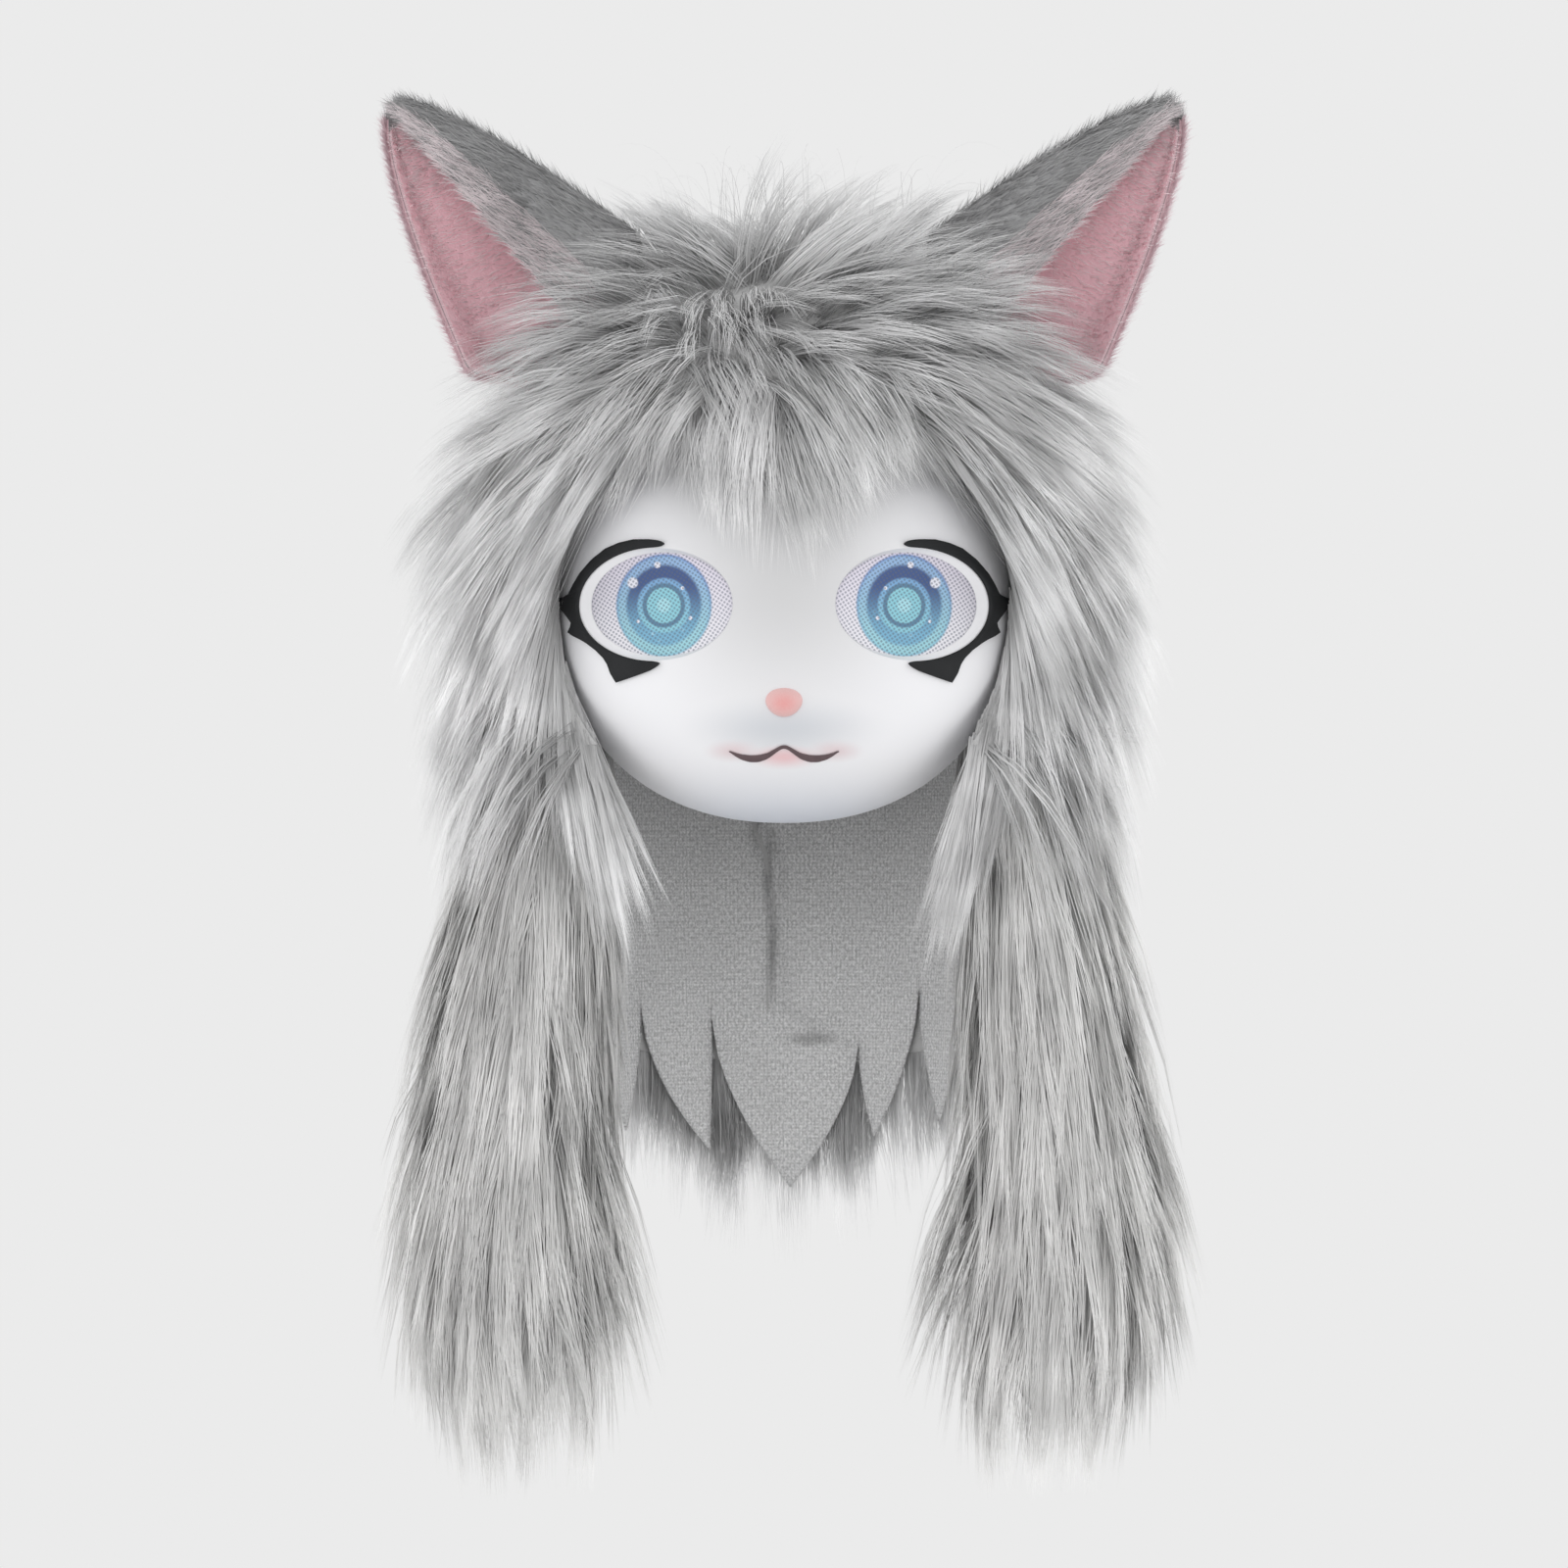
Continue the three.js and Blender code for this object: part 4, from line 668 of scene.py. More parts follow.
def strands(name, root, knee, tip, width, tone, material, twist=0.3, wave=0.0, steps=4):
    """One mesh of ribbons, in millimetres, bent over their knees and swaying by a sine. Each is turned about
    its way by a random twist, in radians, and its half width falls as (1-t)^0.75."""
    root, knee, tip = (ends.reshape(-1, 3) for ends in (root, knee, tip))
    count = len(root)
    turn = rng.normal(0, twist, count)
    t = np.linspace(0, 1, steps + 1)[None, :, None]
    path = bent(root[:, None], knee[:, None], tip[:, None], t)
    chord = tip - root
    chord /= np.maximum(np.linalg.norm(chord, axis=1, keepdims=True), 1e-6)
    out = knee - (root + tip) / 2
    out -= chord * np.sum(out * chord, axis=1, keepdims=True)
    out /= np.maximum(np.linalg.norm(out, axis=1, keepdims=True), 1e-6)
    side = np.cross(chord, out)
    phase = rng.uniform(0, 2 * math.pi, (count, 1, 1))
    path += side[:, None] * wave * t * np.sin(phase + 5.5 * t)
    across = side * np.cos(turn)[:, None] + out * np.sin(turn)[:, None]
    half = 0.5 * np.asarray(width).reshape(-1, 1, 1) * np.maximum(1 - t, 0) ** 0.75 * np.ones((count, 1, 1))
    left, right = path - across[:, None] * half, path + across[:, None] * half
    points = np.empty((count, 2 * steps + 1, 3))
    points[:, 0:2 * steps:2] = left[:, :-1]
    points[:, 1:2 * steps:2] = right[:, :-1]
    points[:, -1] = path[:, -1]
    k = np.arange(steps - 1)
    quads = np.stack([2 * k, 2 * k + 1, 2 * k + 3, 2 * k + 2], axis=-1).ravel()
    corner = np.concatenate([quads, [2 * steps - 2, 2 * steps - 1, 2 * steps]])
    sizes = np.append(np.full(steps - 1, 4), 3)
    loops = (np.arange(count)[:, None] * (2 * steps + 1) + corner[None]).ravel().astype(np.int32)
    totals = np.tile(sizes, count)
    starts = np.concatenate([[0], np.cumsum(totals)[:-1]]).astype(np.int32)
    mesh = bpy.data.meshes.new(name)
    mesh.vertices.add(count * (2 * steps + 1))
    mesh.vertices.foreach_set("co", (points * MM).astype(np.float32).ravel())
    mesh.loops.add(len(loops))
    mesh.loops.foreach_set("vertex_index", loops)
    mesh.polygons.add(len(starts))
    mesh.polygons.foreach_set("loop_start", starts)
    mesh.update(calc_edges=True)
    along = np.repeat(np.linspace(0, 1, steps + 1), 2)[:-1]
    pair = np.stack([np.repeat(tone.ravel(), 2 * steps + 1), np.tile(along, count)], axis=-1)
    layer = mesh.uv_layers.new(name="lay")
    layer.data.foreach_set("uv", pair[loops].astype(np.float32).ravel())
    mesh.polygons.foreach_set("use_smooth", np.ones(len(starts), bool))
    mesh.materials.append(material)
    piece = bpy.data.objects.new(name, mesh)
    bpy.context.scene.collection.objects.link(piece)
    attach(piece, "root")
    return piece


def fur_matter(name, root, middle, tip, cloud_scale=22.0, cloud=0.3, painted_side_light=0.0):
    """Colour up the strand from root to tip by V, its own tone by U, broad patches by noise, and painted
    side light that makes it paler by that share at the head's sides; 16 in 100 of the light goes through."""
    made, tree, shader, place = matter(name, 0.62, Specular_IOR_Level=0.35)
    lay = node(tree, "ShaderNodeUVMap", uv_map="lay").outputs[0]
    parts = node(tree, "ShaderNodeSeparateXYZ", {0: lay}).outputs
    ramp = node(tree, "ShaderNodeValToRGB", {"Fac": parts[1]})
    ramp.color_ramp.elements[0].color = (*root, 1)
    ramp.color_ramp.elements[1].color = (*tip, 1)
    ramp.color_ramp.elements[1].position = 0.95
    ramp.color_ramp.elements.new(0.45).color = (*middle, 1)
    patch = noise(tree, place, cloud_scale, 2)
    shade = remap(tree, patch, 0.3, 0.7, 1 - cloud, 1 + 0.5 * cloud)
    own = remap(tree, parts[0], 0.0, 1.0, 0.84, 1.10)
    # Painted light: the pile is made paler at the head's sides, where the side light falls.
    sideways = node(tree, "ShaderNodeSeparateXYZ", {0: place}).outputs[0]
    across = node(tree, "ShaderNodeMath", {0: sideways}, operation="ABSOLUTE")
    sides = remap(tree, across.outputs[0], 0.10, 0.18, 1.0, 1 + painted_side_light)
    gain = times(tree, shade, own)
    gain = times(tree, gain, sides)
    lit = node(tree, "ShaderNodeVectorMath", {0: ramp.outputs[0], 3: gain}, operation="SCALE")
    paint(tree, shader, lit.outputs[0])
    uneven = remap(tree, parts[0], 0.0, 1.0, 0.55, 0.75)
    tree.links.new(uneven, shader.inputs["Roughness"])
    through = node(tree, "ShaderNodeBsdfTranslucent", {"Color": lit.outputs[0]})
    both = node(tree, "ShaderNodeMixShader", {0: 0.16, 1: shader.outputs[0], 2: through.outputs[0]})
    tree.links.new(both.outputs[0], tree.nodes["Material Output"].inputs["Surface"])
    return made


def spread(centres, count, reach):
    """Offsets of copies round each centre: an even disc of that reach."""
    radius = reach * np.sqrt(rng.uniform(0, 1, (centres, count)))
    angle = rng.uniform(0, 2 * math.pi, (centres, count))
    return radius * np.cos(angle), radius * np.sin(angle)


def unit(v):
    """The direction of each vector."""
    return v / np.maximum(np.linalg.norm(v, axis=-1, keepdims=True), 1e-9)


PELT_HALF = {"side": 140, "back": 136, "top": 133}  # the pelt's half sizes, rounded, for directions on it
WHORL = np.array([-0.14, -0.62, 0.77])


def hood_out(direction):
    """The way out of the pelt at a direction on the dome."""
    up = np.maximum(0, direction[..., 2])
    return unit(np.stack([
        direction[..., 0] / PELT_HALF["side"], direction[..., 1] / PELT_HALF["back"], up / PELT_HALF["top"],
    ], axis=-1))


def combed(direction, out):
    """The way the pile lies: away from the whorl and down, more so low down, along the pelt."""
    away = direction - WHORL
    away[..., 2] += -0.35 - 0.5 * np.maximum(0, -direction[..., 2])
    return unit(away - out * np.sum(away * out, axis=-1, keepdims=True))


def in_window(point, margin):
    """True where a point in front of the cap stands inside the face's window."""
    up = point[..., 2] - FACE["centre_z"]
    tall = np.where(up > 0, FACE["upper"], FACE["lower"]) + margin
    across = np.abs(point[..., 0]) / (FACE["half_width"] + margin)
    return (across ** SQUARENESS + np.abs(up / tall) ** SQUARENESS < 1) & (point[..., 1] < 0)


# How low the hair reaches over the brow: places across the head and up it, in millimetres
HAIRLINE = np.array([
    (-150, -225), (-126, -165), (-119, -142), (-109, -124), (-92, -105), (-70, -104), (-51, -114),
    (-31, -134), (-10, -146), (15, -156), (36, -140), (61, -115), (80, -104), (98, -105), (110, -124),
    (119, -142), (150, -225),
])


def over_face(root, knee, tip, overlap):
    """True for a strand that would lie more than the overlap over the face under the hairline, or reach the
    lashes."""
    hit = np.zeros(len(root), bool)
    for t in (0.45, 0.6, 0.8, 1.0):
        at = bent(root, knee, tip, t)
        margin = np.where(np.abs(at[:, 2] + 154) < 21, -1, -overlap)
        hit |= in_window(at, margin) & (at[:, 2] < np.interp(at[:, 0], HAIRLINE[:, 0], HAIRLINE[:, 1]) - 1)
    return hit


# Lean and seat are angles in degrees; the seat lies on the pelt's round, out to the side and up
EAR = {"height": 163, "half_width": 66, "lean": 39, "seat": 43, "y": 4, "out": 139.95, "up": 132.95}


def ear_local(point, side):
    """A point in an ear's own measures: across it, in front of its axis, and up it, in millimetres."""
    lean, seat = math.radians(EAR["lean"]), math.radians(EAR["seat"])
    from_x = side * point[..., 0] - EAR["out"] * math.cos(seat)
    from_z = point[..., 2] - (WIDEST_Z + EAR["up"] * math.sin(seat))
    height = from_x * math.sin(lean) + from_z * math.cos(lean)
    across = -from_x * math.cos(lean) + from_z * math.sin(lean)
    return across, EAR["y"] - point[..., 1], height


def ear_half(share):
    """An ear's half width: a 0.62-power taper to the tip, drawn in where it stands in the fur."""
    t = np.clip(share / 0.2, 0, 1)
    return EAR["half_width"] * np.maximum(0, 1 - share) ** 0.62 * (0.6 + 0.4 * t * t * (3 - 2 * t))


def in_ear(root, knee, tip):
    """True for a strand that would run through an ear's cup anywhere on its way."""
    hit = np.zeros(len(root), bool)
    for t in (0.15, 0.35, 0.55, 0.75, 1.0):
        at = bent(root, knee, tip, t)
        for side in (-1, 1):
            across, front, height = ear_local(at, side)
            half = np.maximum(ear_half(height / EAR["height"]), 1)
            inside = (across / half) ** 2 + ((front / half + 0.1) / 0.5) ** 2 < 1
            hit |= inside & (height > 28 + 12 * t) & (height < 168)
    return hit


def hood_strands(locks, wisps, each):
    """Locks at even steps of a spiral over the dome, wisps in each lock and strands in each wisp, with
    the tips drawn together."""
    number = np.arange(locks)
    level = 0.995 - 1.985 * ((number + 0.5) / locks)
    turn = number * math.pi * (3 - math.sqrt(5))
    centre = dome_grid(level, turn)
    out = hood_out(centre)
    along = combed(centre, out)
    cross = np.cross(out, along)
    near = np.exp(-(np.linalg.norm(centre - WHORL, axis=1) / 0.45) ** 2)
    swing = (rng.uniform(-0.32, 0.32, locks) + near * (0.7 + rng.normal(0, 0.55, locks)))[:, None]
    along = unit(along * np.cos(swing) + cross * np.sin(swing))
    # Places of wisps in a lock and of strands in a wisp, in millimetres along the pelt
    wisp_a, wisp_b = spread(locks, wisps, 24)
    hair_a, hair_b = spread(locks * wisps, each, 4.6)
    a = wisp_a[..., None] + hair_a.reshape(locks, wisps, each)
    b = wisp_b[..., None] + hair_b.reshape(locks, wisps, each)
    basis_a, basis_b = along[:, None, None], np.cross(out, along)[:, None, None]
    direction = centre[:, None, None] + (a[..., None] * basis_a + b[..., None] * basis_b) / PELT_HALF["back"]
    low = direction[..., 2] < 0
    flat = np.linalg.norm(direction[..., :2], axis=-1)
    narrowing = 1 + 0.05 * np.clip(direction[..., 2], -1, 0)
    length = np.where(low, flat / narrowing, np.linalg.norm(direction, axis=-1))
    direction = np.where(low[..., None], direction / length[..., None] * [1, 1, 0] + direction * [0, 0, 1],
                         direction / length[..., None])
    direction[..., 2] = np.maximum(direction[..., 2], -0.995)
    sink = {key: value - 3 for key, value in PELT.items()}
    root = hood_place(direction, sink)
    own_out = hood_out(direction)
    lie = combed(direction, own_out)
    lie = unit(0.4 * lie + 0.6 * along[:, None, None] + rng.normal(0, 0.10, (locks, wisps, 1, 3)))
    # Height off the pelt and length, by place: shallow on the crown, deep on the sides
    top = np.maximum(0, own_out[..., 2]) ** 1.2
    rise = (66 + (43 - 66) * top) * rng.uniform(0.78, 1.0, (locks, 1, 1))
    rise = rise * (1 - 0.6 * rng.uniform(0, 1, (locks, wisps, 1)) ** 1.6)
    rise = rise * rng.uniform(0.9, 1.03, (locks, wisps, each))
    rng.uniform(0, 1, (locks, wisps, each))  # drawn and not used, so that the later draws keep their places
    run = (92 - 22 * top) * rng.uniform(0.82, 1.12, (locks, 1, 1)) * rng.uniform(0.85, 1.1, (locks, wisps, 1))
    run = run * rng.uniform(0.85, 1.08, (locks, wisps, each))
    knee = root + own_out * (0.72 * rise)[..., None] + lie * (0.26 * run)[..., None]
    tip = root + own_out * rise[..., None] + lie * run[..., None]
    tip[..., 2] -= 12 * (1 - top)
    # Over each ear's seat the pile stands up, so that the crown looks level between the ears
    lift = 27 * np.exp(-((np.abs(root[..., 0]) - 60) / 44) ** 2) * np.clip((root[..., 2] + 62) / 40, 0, 1)
    tip[..., 2] += lift
    knee[..., 2] += 0.7 * lift
    wide = np.abs(tip[..., 0])
    limit = np.interp(tip[..., 2], [-330, -290, -240, -110, -60], [184, 188, 201, 201, 190])
    tip[..., 0] = np.sign(tip[..., 0]) * np.where(wide > limit, limit + 0.3 * (wide - limit), wide)
    tip[..., 1] = np.where(tip[..., 1] < -158, -158 + 0.3 * (tip[..., 1] + 158), tip[..., 1])
    wisp_tip = tip.mean(axis=2, keepdims=True)
    lock_tip = wisp_tip.mean(axis=1, keepdims=True)
    tip = tip + 0.45 * (wisp_tip - tip) + 0.24 * (lock_tip - wisp_tip)
    wisp_knee = knee.mean(axis=2, keepdims=True)
    knee = knee + 0.25 * (wisp_knee - knee)
    lock_tone = rng.normal(0.5, 0.10, (locks, 1, 1)) + rng.normal(0, 0.12, (locks, wisps, 1))
    tone = np.clip(lock_tone + rng.normal(0, 0.13, (locks, wisps, each)), 0, 1)
    return [v.reshape(-1, v.shape[-1]) for v in (root, knee, tip)] + [tone.ravel()]


hood_fur = fur_matter("hood_grey_fur", (0.48, 0.48, 0.482), (0.75, 0.75, 0.753), (0.88, 0.88, 0.883),
                      painted_side_light=0.14)
root, knee, tip, tone = hood_strands(250, 22, 12)
keep = ~(in_window(root, 2) | in_ear(root, knee, tip))
# Strands that would lie over the face are left to the fringe
keep &= ~over_face(root, knee, tip, 3)
root, knee, tip, tone = root[keep], knee[keep], tip[keep], tone[keep]
width = rng.uniform(0.5, 0.95, len(root))
front, left = root[:, 1] < 0, root[:, 0] < 0
for number, pick in enumerate((front & left, front & ~left, ~front & left, ~front & ~left)):
    strands(f"hood_fur_{number + 1}", root[pick], knee[pick], tip[pick], width[pick],
                               tone[pick], hood_fur, wave=1.8, steps=4 if number < 2 else 3)
# A few thin hairs fly up from the crown and curl over
count = 90
fly_x, fly_y = rng.uniform(-62, 66, count), rng.uniform(-60, 30, count)
root = np.stack([fly_x, fly_y, 8 + rng.uniform(0, 8, count)], axis=-1)
lean = 0.35 * fly_x + rng.normal(0, 13, count)
knee = root + np.stack([0.4 * lean, rng.normal(0, 6, count), rng.uniform(52, 92, count)], axis=-1)
tip = root + np.stack([1.5 * lean, rng.normal(0, 10, count), rng.uniform(18, 58, count)], axis=-1)
strands("fly_away_hairs", root, knee, tip, rng.uniform(0.22, 0.4, count),
                           rng.uniform(0.2, 0.8, count), hood_fur, twist=0.6, wave=3.0, steps=10)
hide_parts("hood_fur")


# THE HAIR BESIDE THE FACE
# At the window's edge the pile lies flat and close, combed down past the face's side.
# It hides the cut edge of the pelt, and low down it closes in towards the neck.
def tones(like, middle, between, within):
    """Each strand's tone, 0 to 1: the middle, with one spread from wisp to wisp and another within a wisp."""
    return np.clip(rng.normal(middle, between, (len(like), 1)) + rng.normal(0, within, like.shape), 0, 1)


wisps, each = 520, 13
cheek_sets = []
for side in (-1, 1):
    down_z = -233 + 168 * rng.uniform(0, 1, wisps) ** 1.25
    up = (down_z - FACE["centre_z"]) / np.where(down_z > FACE["centre_z"], FACE["upper"], FACE["lower"])
    edge_x = FACE["half_width"] * np.maximum(0.02, 1 - np.abs(up) ** SQUARENESS) ** (1 / SQUARENESS)
    margin = -2.5 + 20 * rng.uniform(0, 1, wisps) ** 1.5
    foot_x = edge_x + margin
    height = np.clip((down_z - WIDEST_Z) / PELT_HALF["top"], 0, 1)
    narrowing = 1 - 0.05 * np.clip((WIDEST_Z - down_z) / HOOD["drop"], 0, 1)
    wide = np.where(down_z > WIDEST_Z, np.sqrt(1 - height ** 2), narrowing)
    deep = np.sqrt(np.maximum(0.02, wide ** 2 - (foot_x / PELT_HALF["side"]) ** 2))
    foot_y = -PELT_HALF["back"] * deep + 2
    foot = np.stack([side * foot_x, foot_y, down_z], axis=-1)
    low = np.clip((-140 - down_z) / 75, 0, 1)
    run = rng.uniform(55, 100, wisps) + 22 * low
    # The hair runs along the face's edge: out over the temple, down the cheek and in under the jaw
    lean = np.interp(down_z, [-233, -208, -185, -160, -110, -70], [-0.20, -0.36, -0.16, 0.16, 0.46, 0.62])
    sideways = (lean + rng.normal(0, 0.05, wisps)) * run
    rise = rng.uniform(4, 22, wisps) * (0.45 + margin / 18)
    lie = np.stack([side * sideways, -rise, -run], axis=-1)
    hair_a, hair_b = spread(wisps, each, 4)
    root = foot[:, None] + np.stack([0.5 * np.abs(hair_a) * side, 0 * hair_a, hair_b], axis=-1)
    tip = root + lie[:, None] * rng.uniform(0.8, 1.08, hair_a.shape)[..., None]
    tip = tip - hair_b[..., None] * [0, 0, 0.4]
    knee = root + lie[:, None] * 0.4 + np.stack([0 * rise, -0.45 * rise - 3, 0 * rise], axis=-1)[:, None]
    tone = tones(hair_a, 0.55, 0.12, 0.14)
    cheek_sets.append([v.reshape(-1, 3) for v in (root, knee, tip)] + [tone.ravel()])
root, knee, tip, tone = (np.concatenate([group[k] for group in cheek_sets]) for k in range(4))
keep = ~(over_face(root, knee, tip, 6) & (root[:, 2] > -205))
root, knee, tip, tone = root[keep], knee[keep], tip[keep], tone[keep]
cheek_hair = strands("cheek_fur", root, knee, tip, rng.uniform(0.5, 0.95, len(root)), tone, hood_fur,
                     wave=1.4, steps=3)


# THE FRINGE
# The same pile over the brow: long wisps that start at the window's top edge and the whorl,
# and fall over the forehead to an uneven hairline, deepest a little right of the middle.
wisps, each = 900, 13
temple = rng.uniform(0, 1, wisps) < 0.3
level = np.where(temple, rng.uniform(0.16, 0.55, wisps), 0.40 + 0.50 * rng.uniform(0, 1, wisps) ** 1.1)
beside = rng.choice([-1, 1], wisps) * rng.uniform(0.72, 1.12, wisps)
turn = -math.pi / 2 + np.where(temple, beside, rng.uniform(-1.12, 1.12, wisps))
start = dome_grid(level, turn)
foot = hood_place(start, {key: value - 3 for key, value in PELT.items()})
# Wisps fan out from the whorl, each as long as the hairline lets it be; at the temples they pass
# beside the face
fan = 0.92 * np.arctan2(foot[:, 0] + 18, 14 - foot[:, 2]) + rng.normal(0, 0.2, wisps)
fan -= 0.5 * np.sign(fan) * np.maximum(np.abs(fan) - 0.45, 0)
run = rng.uniform(70, 150, wisps) * (1 - 0.5 * np.clip(np.abs(fan) - 0.4, 0, 1))
end_x, end_z = foot[:, 0] + run * np.sin(fan), foot[:, 2] - run * np.cos(fan)
line = np.interp(end_x, HAIRLINE[:, 0], HAIRLINE[:, 1]) + rng.gamma(1.2, 6, wisps) - 8
short = np.clip((foot[:, 2] - line) / np.maximum(foot[:, 2] - end_z, 1), 0.35, 1)
end_x, end_z = foot[:, 0] + short * run * np.sin(fan), foot[:, 2] - short * run * np.cos(fan)
end_x = np.clip(end_x, -168, 168)
beside = np.clip((np.abs(end_x) - 108) / 12, 0, 1)
end_y = face_front(np.clip(end_x, -112, 112), np.minimum(end_z, -62)) - rng.uniform(3, 16, wisps)
end_y = np.minimum(end_y + 10 * beside, -62)
end = np.stack([end_x, end_y, end_z], axis=-1)
hair_a, hair_b = spread(wisps, each, 6)
root = foot[:, None] + np.stack([hair_a, 0 * hair_a, 0.6 * hair_b], axis=-1)
apart = np.stack([0.5 * hair_a + rng.normal(0, 1.5, hair_a.shape), rng.uniform(-2, 3, hair_a.shape),
                  np.abs(rng.normal(0, 7, hair_a.shape))], axis=-1)
tip = end[:, None] + apart
out = hood_out(start)[:, None]
bow = np.stack([np.cos(fan), 0 * fan, np.sin(fan)], axis=-1) * rng.normal(0, 7, wisps)[:, None]
knee = 0.55 * root + 0.45 * tip + out * rng.uniform(8, 24, (wisps, 1, 1)) + bow[:, None]
tone = tones(hair_a, 0.55, 0.12, 0.14)
# Painted light: this copy of the pile is paler than the hood's, most at the tips, to lift the shade where the
# fringe lies over the face.
fringe_fur = fur_matter("fringe_grey_fur", (0.50, 0.50, 0.502), (0.80, 0.80, 0.803), (0.97, 0.97, 0.973))
fringe = strands("fringe", root, knee, tip, rng.uniform(0.4, 0.8, tone.size), tone, fringe_fur, wave=1.5)


# THE EARS
# Each ear is a cup of foam covered in short grey pile outside, its front lip folded over.
# Inside is pink short pile, with pale long hairs where it meets the grey. The pink is painted paler inside the
# cup against its shade, and darker on the lip, where the side light falls.
SECTION = np.array([
    (-1, 0.12), (-0.68, -0.34), (0.02, -0.58), (0.7, -0.42), (0.99, -0.02), (0.62, 0.27), (0.04, 0.36),
])


def ear_curve(share):
    """The ear's section as a Catmull-Rom curve through its seven points, and its way, at shares along it."""
    padded = np.concatenate([[2 * SECTION[0] - SECTION[1]], SECTION, [2 * SECTION[-1] - SECTION[-2]]])
    at = np.clip(share, 0, 1) * (len(SECTION) - 1)
    k = np.minimum(at.astype(int), len(SECTION) - 2)
    t = (at - k)[..., None]
    p0, p1, p2, p3 = (padded[k + i] for i in range(4))
    square = 2 * p0 - 5 * p1 + 4 * p2 - p3
    cube = 3 * p1 - p0 - 3 * p2 + p3
    point = 0.5 * (2 * p1 + (p2 - p0) * t + square * t ** 2 + cube * t ** 3)
    way = 0.5 * ((p2 - p0) + 2 * square * t + 3 * cube * t ** 2)
    return point, unit(way)


def ear_place(side, across, forward, height):
    """From an ear's own measures to the head's, in millimetres: it leans outwards from its seat on the dome."""
    lean, seat = math.radians(EAR["lean"]), math.radians(EAR["seat"])
    return np.stack([
        side * (EAR["out"] * math.cos(seat) + height * math.sin(lean) - across * math.cos(lean)),
        EAR["y"] - forward + 0 * height,
        WIDEST_Z + EAR["up"] * math.sin(seat) + height * math.cos(lean) + across * math.sin(lean),
    ], axis=-1)


def ear_surface(side, round_share, share, depth):
    """A point of the cup at a share round its section and up its height, a depth inside its outer face."""
    point, way = ear_curve(round_share)
    half = ear_half(share)
    across = half * point[..., 0] - depth * way[..., 1]
    forward = half * point[..., 1] + depth * way[..., 0]
    return ear_place(side, across, forward, share * EAR["height"])


def ear_cup(name, side, front, back, top, material):
    """A closed cup wall between two depths: out along the section, round the lip and back, ring by ring up."""
    count = 44
    out_share = np.linspace(0, 1, count)
    share = (-0.128 + (top + 0.128) * (1 - (1 - np.linspace(0, 1, 40)) ** 1.3))[:, None]
    rim = 0.5 * (front + back)
    ring_share = np.concatenate([out_share, [1.0], out_share[::-1], [0.0]])[None]
    ring_depth = np.concatenate([np.full(count, front), [rim], np.full(count, back), [rim]])[None]
    shell = ear_surface(side, ring_share + 0 * share, share + 0 * ring_share, ring_depth + 0 * share)
    cup = closed_tube(name, shell, material)
    cup.data.set_sharp_from_angle(angle=math.radians(70))
    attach(cup, "root")
    return cup


grey_back, pink_back, rim_back = [
    mottled(name, low, high, 420, 4, 0.7, 0.0008, Sheen_Weight=0.2) for name, low, high in (
        ("grey_pile_back", (0.26, 0.26, 0.265, 1), (0.40, 0.40, 0.405, 1)),
        ("pink_pile_back", (0.86, 0.52, 0.58, 1), (0.92, 0.62, 0.67, 1)),
        # painted shade: the rim's backing is a darker copy of the pink backing, for the lip's lit edge
        ("pink_rim_back", (0.50, 0.34, 0.37, 1), (0.60, 0.42, 0.45, 1)),
    )
]
ear_grey = fur_matter("ear_grey_pile", (0.28, 0.28, 0.284), (0.38, 0.38, 0.384), (0.52, 0.52, 0.524),
                      24.0, 0.3)
# Painted light and shade: one pink pile in two copies, paler inside the shaded cup and darker on the lit lip.
ear_pink = fur_matter("ear_pink_pile", (0.97, 0.71, 0.75), (0.99, 0.82, 0.85), (1.0, 0.93, 0.945), 22.0, 0.10)
ear_lip = fur_matter("ear_lip_pile", (0.76, 0.54, 0.58), (0.80, 0.62, 0.66), (0.86, 0.74, 0.77), 22.0, 0.10)
ear_pale = fur_matter("ear_pale_hairs", (0.62, 0.54, 0.56), (0.78, 0.70, 0.72), (0.90, 0.84, 0.85), 30.0, 0.2)


def ear_pile(name, side, count, depth, face, rounds, shares, length, lift, material, width, towards):
    """Short strands on a cup's outer face, 1, or its inner, -1: out by the lift, and along a direction given by
    its parts up the ear and round its section. Rounds and shares bound the places round and up the ear."""
    u = rng.uniform(*rounds, count)
    s = rng.uniform(0, 1, count) ** 0.8 * (shares[1] - shares[0]) + shares[0]
    root = ear_surface(side, u, s, np.full(count, depth))
    out = unit(ear_surface(side, u, s, np.full(count, depth - face)) - root)
    up = unit(ear_surface(side, u, np.minimum(s + 0.02, 0.995), np.full(count, depth)) - root)
    round_way = unit(ear_surface(side, np.clip(u + 0.01, 0, 1.0), s, np.full(count, depth))
                     - ear_surface(side, np.clip(u - 0.01, 0, 1.0), s, np.full(count, depth)))
    lie = unit(towards[0] * up + towards[1] * round_way + 0.17 * rng.normal(0, 1, (count, 3)))
    size = length * rng.uniform(0.6, 1.1, count)[:, None]
    knee = root + out * lift * size * 0.75 + lie * size * 0.35
    tip = root + out * lift * size + lie * size
    tone = np.clip(rng.normal(0.5, 0.2, count), 0, 1)
    return strands(name, root, knee, tip, np.full(count, width), tone, material, twist=0.2, steps=3)


